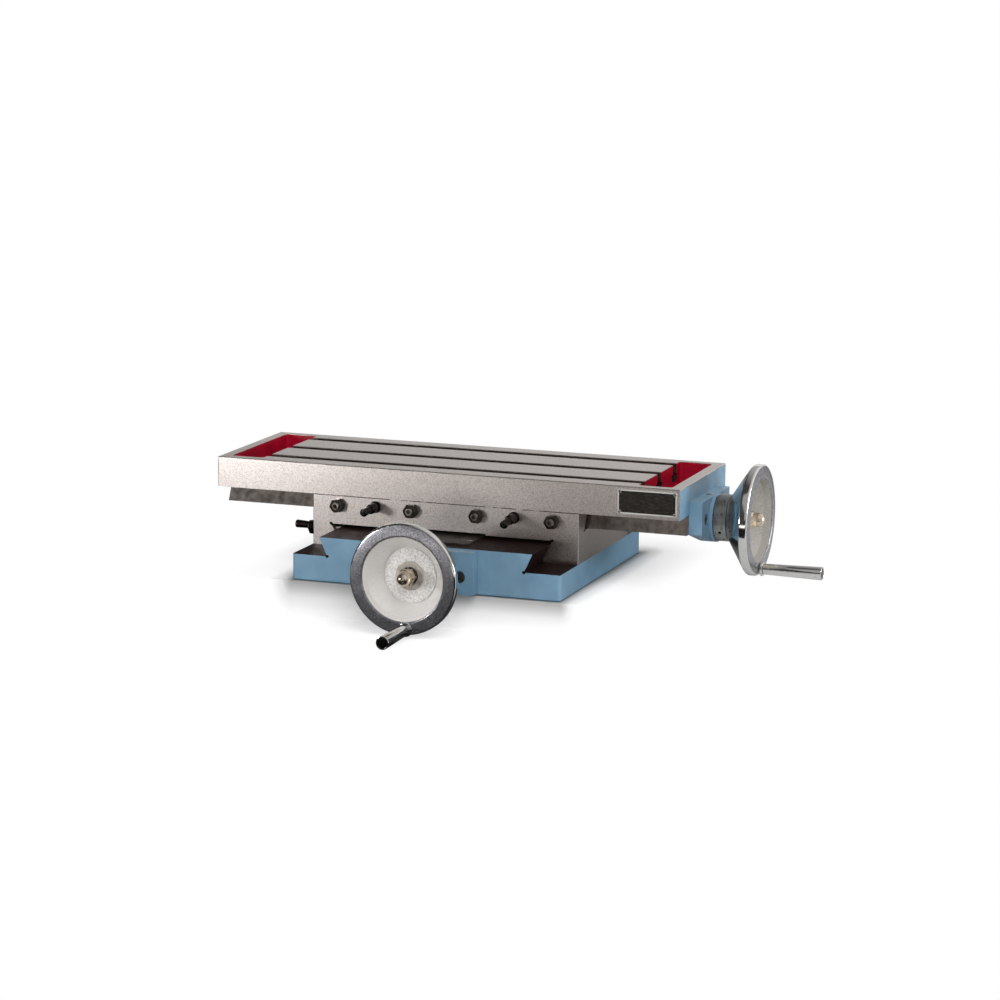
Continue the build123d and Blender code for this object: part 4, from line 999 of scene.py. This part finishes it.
def pale_paper(tree):
    """Matte white paper that looks brighter to the camera the further it lies from the base's foot."""
    rays = add(tree, "ShaderNodeLightPath").outputs
    place = add(tree, "ShaderNodeTexCoord").outputs["Object"]
    away = add(tree, VECTOR, {0: place}, operation="ABSOLUTE")
    for operation, measure in (("SUBTRACT", FOOTPRINT), ("MAXIMUM", (0, 0, 0)), ("MULTIPLY", ENDWAYS)):
        away = add(tree, VECTOR, {0: away, 1: measure}, operation=operation)
    away = add(tree, VECTOR, {0: away}, operation="LENGTH")
    rightward = add(tree, VECTOR, {0: place, 1: RIGHTWARDS}, operation="DOT_PRODUCT")
    near = {"Value": away, "From Min": 50 * MM, "From Max": 180 * MM}
    glow = {"Value": away, "From Max": 60 * MM, "To Max": 0.5}
    # Near the foot the paper's own colour goes darker: a painted contact shadow.
    foot = {"Value": away, "From Max": 25 * MM, "To Min": 0.5, "To Max": 0.0}
    front = {"Value": rightward, "From Min": 220 * MM, "From Max": 360 * MM, "To Min": 0.95, "To Max": 0.0}
    near, glow, foot, front = [add(tree, MAP_RANGE, ends) for ends in (near, glow, foot, front)]
    fade = add(tree, MATH, {0: near, 1: rays["Is Camera Ray"]}, operation="MULTIPLY")
    seen = add(tree, MATH, {0: glow, 1: rays["Is Camera Ray"]}, operation="MULTIPLY")
    mirrored = add(tree, MATH, {0: front, 1: rays["Is Glossy Ray"]}, operation="MULTIPLY")
    shade = add(tree, MATH, {0: mirrored, 1: foot}, operation="MAXIMUM")
    tone = add(tree, "ShaderNodeMix", {"Factor": shade, "A": "#E6E6E6", "B": "#202020"}, data_type="RGBA")
    matte = add(tree, "ShaderNodeBsdfDiffuse", {"Color": tone})
    shining = add(tree, "ShaderNodeEmission", {"Color": "#FFFFFF", "Strength": seen})
    lit = add(tree, "ShaderNodeAddShader", {0: matte, 1: shining})
    white = add(tree, "ShaderNodeEmission", {"Color": "#FFFFFF", "Strength": 1.0})
    return add(tree, "ShaderNodeMixShader", {0: fade, 1: lit, 2: white})


paper = new_material("pale_paper", pale_paper)

# %% Bench and floor
def slab(name, low_mm, high_mm, material):
    """A plain block for the stage."""
    shape = bmesh.new()
    bmesh.ops.create_cube(shape, size=1)
    low, high = Vector(low_mm) * MM, Vector(high_mm) * MM
    bmesh.ops.scale(shape, vec=high - low, verts=shape.verts)
    bmesh.ops.translate(shape, vec=(high + low) / 2, verts=shape.verts)
    mesh = bpy.data.meshes.new(name)
    shape.to_mesh(mesh)
    shape.free()
    mesh.materials.append(material)
    block = link(mesh, name)
    return block


bench = slab("bench", (-2500, -196, -52), (2500, 3500, -0.2), paper)
floor = slab("floor", (-6000, -6000, -60), (6000, 6000, -52), paper)
print("bench and floor made")

# %% [markdown]
# ## Light for metal
#
# Metal shows what stands around it, so its light is a matter of cards as much as of lamps. A dark cloth lies
# on the floor at the right front, out of the picture, and polished rims take their black lines from it. Its
# far end is bright, for the upper part of the front wheel's rim. The background is white to the camera, and
# to the metal it grows from dark at the left front to white at the right back.
#
# A small lamp low at the left front gives the front faces a highlight that fades to the right. A high lamp
# fills in the enamel and casts the soft shadows. Polished metal would mirror it as a glaring square, so
# metal sees a larger and fainter card in its place. The others lift the back, the right side and the end of
# the base, the last with a low lamp that metal doesn't see either. The low lamps would burn the paper, and
# that one also the dish of the wheel in front of it, so light linking keeps their light off those.

# %% Dark cloth
def cloth_glow(tree):
    """Cloth as metal sees it: dark, a little lighter at its left and bright at its far end."""
    place = add(tree, "ShaderNodeTexCoord").outputs["Object"]
    axes = add(tree, "ShaderNodeSeparateXYZ", {"Vector": place}).outputs
    left = {"Value": axes["X"], "From Min": -0.8, "From Max": -0.1, "To Min": 0.4, "To Max": 0.015}
    far = {"Value": axes["Y"], "From Min": -1.2, "From Max": -1.5, "To Min": 0.0, "To Max": 2.2}
    left, far = [add(tree, MAP_RANGE, ends) for ends in (left, far)]
    tone = add(tree, MATH, {0: left, 1: far}, operation="MAXIMUM")
    return add(tree, "ShaderNodeEmission", {"Color": "#F2ECE8", "Strength": tone})


cloth = slab("dark_cloth", (-900, -4000, -51), (4000, -330, -50), new_material("dark_cloth", cloth_glow))
for way_seen in ("visible_camera", "visible_shadow", "visible_diffuse", "visible_transmission"):
    setattr(cloth, way_seen, False)

# %% World
BRIGHT_SIDE = (0.75, 0.6, 0.28)
DARKEST, FILL = 0.06, 0.3
world = bpy.data.worlds.new("studio")
bpy.context.scene.world = world
world.use_nodes = True
tree = world.node_tree
tree.nodes.clear()
rays = add(tree, "ShaderNodeLightPath").outputs
direction = add(tree, "ShaderNodeTexCoord").outputs["Generated"]
towards = add(tree, VECTOR, {0: direction, 1: BRIGHT_SIDE}, operation="DOT_PRODUCT")
shine = add(tree, MAP_RANGE, {"Value": towards, "To Min": DARKEST})
metal_sees = add(tree, MATH, {0: shine, 1: rays["Is Glossy Ray"]}, operation="MULTIPLY")
others = add(tree, MATH, {0: 1.0, 1: rays["Is Glossy Ray"]}, operation="SUBTRACT")
ambient = add(tree, MATH, {0: others, 1: FILL, 2: metal_sees}, operation="MULTIPLY_ADD")
white_seen = add(tree, MATH, {0: rays["Is Camera Ray"], 1: rays["Is Transmission Ray"]}, operation="MAXIMUM")
room = add(tree, "ShaderNodeBackground", {"Color": "#F8F6F4", "Strength": ambient})
white = add(tree, "ShaderNodeBackground", {"Color": "#FFFFFF", "Strength": 1.0})
seen = add(tree, "ShaderNodeMixShader", {0: white_seen, 1: room, 2: white})
add(tree, "ShaderNodeOutputWorld", {"Surface": seen})
print("world set,", len(tree.nodes), "nodes")

# %% Lamps
def softbox(name, centre_mm, aim_mm, width_mm, height_mm, watts):
    """A rectangular area lamp that points at a place and doesn't show in the picture."""
    lamp = bpy.data.lights.new(name, "AREA")
    lamp.shape = "RECTANGLE"
    lamp.size, lamp.size_y = width_mm * MM, height_mm * MM
    lamp.energy = watts
    holder = link(lamp, name)
    holder.location = Vector(centre_mm) * MM
    toward = Vector(aim_mm) * MM - holder.location
    holder.rotation_mode = "QUATERNION"
    holder.rotation_quaternion = toward.to_track_quat("-Z", "Y")
    holder.visible_camera = False
    return holder


key = softbox("key_left_front", (-850, -1230, 225), (-50, -100, 90), 230, 200, 5.4)
high = softbox("high_front", (900, -1500, 1500), (0, -50, 50), 1400, 1400, 27)
softbox("high_card", (950, -1580, 1580), (0, -50, 50), 2800, 2800, 8)
softbox("back", (-270, 1600, 520), (0, 0, 120), 1700, 500, 1.35)
softbox("side_right", (1800, 600, 330), (250, 50, 50), 450, 450, 8)
low = softbox("low_right", (1300, 0, 40), (211, 0, 20), 300, 120, 4.8)
for lamp in (high, low):
    lamp.visible_glossy = False
print(len(bpy.data.lights), "lamps")

# %% What the low lamps leave out
def leave_out(lamp, pieces):
    """Keeps a lamp's light off some pieces."""
    unlit = bpy.data.collections.new("unlit_by_" + lamp.name)
    for piece in pieces:
        unlit.objects.link(piece)
    for member in unlit.collection_objects:
        member.light_linking.link_state = "EXCLUDE"
    lamp.light_linking.receiver_collection = unlit
    print(lamp.name, "leaves out", len(pieces), "pieces")


leave_out(key, [bench, floor])
leave_out(low, [bench, floor, bpy.data.objects["table_handwheel_turned"]])
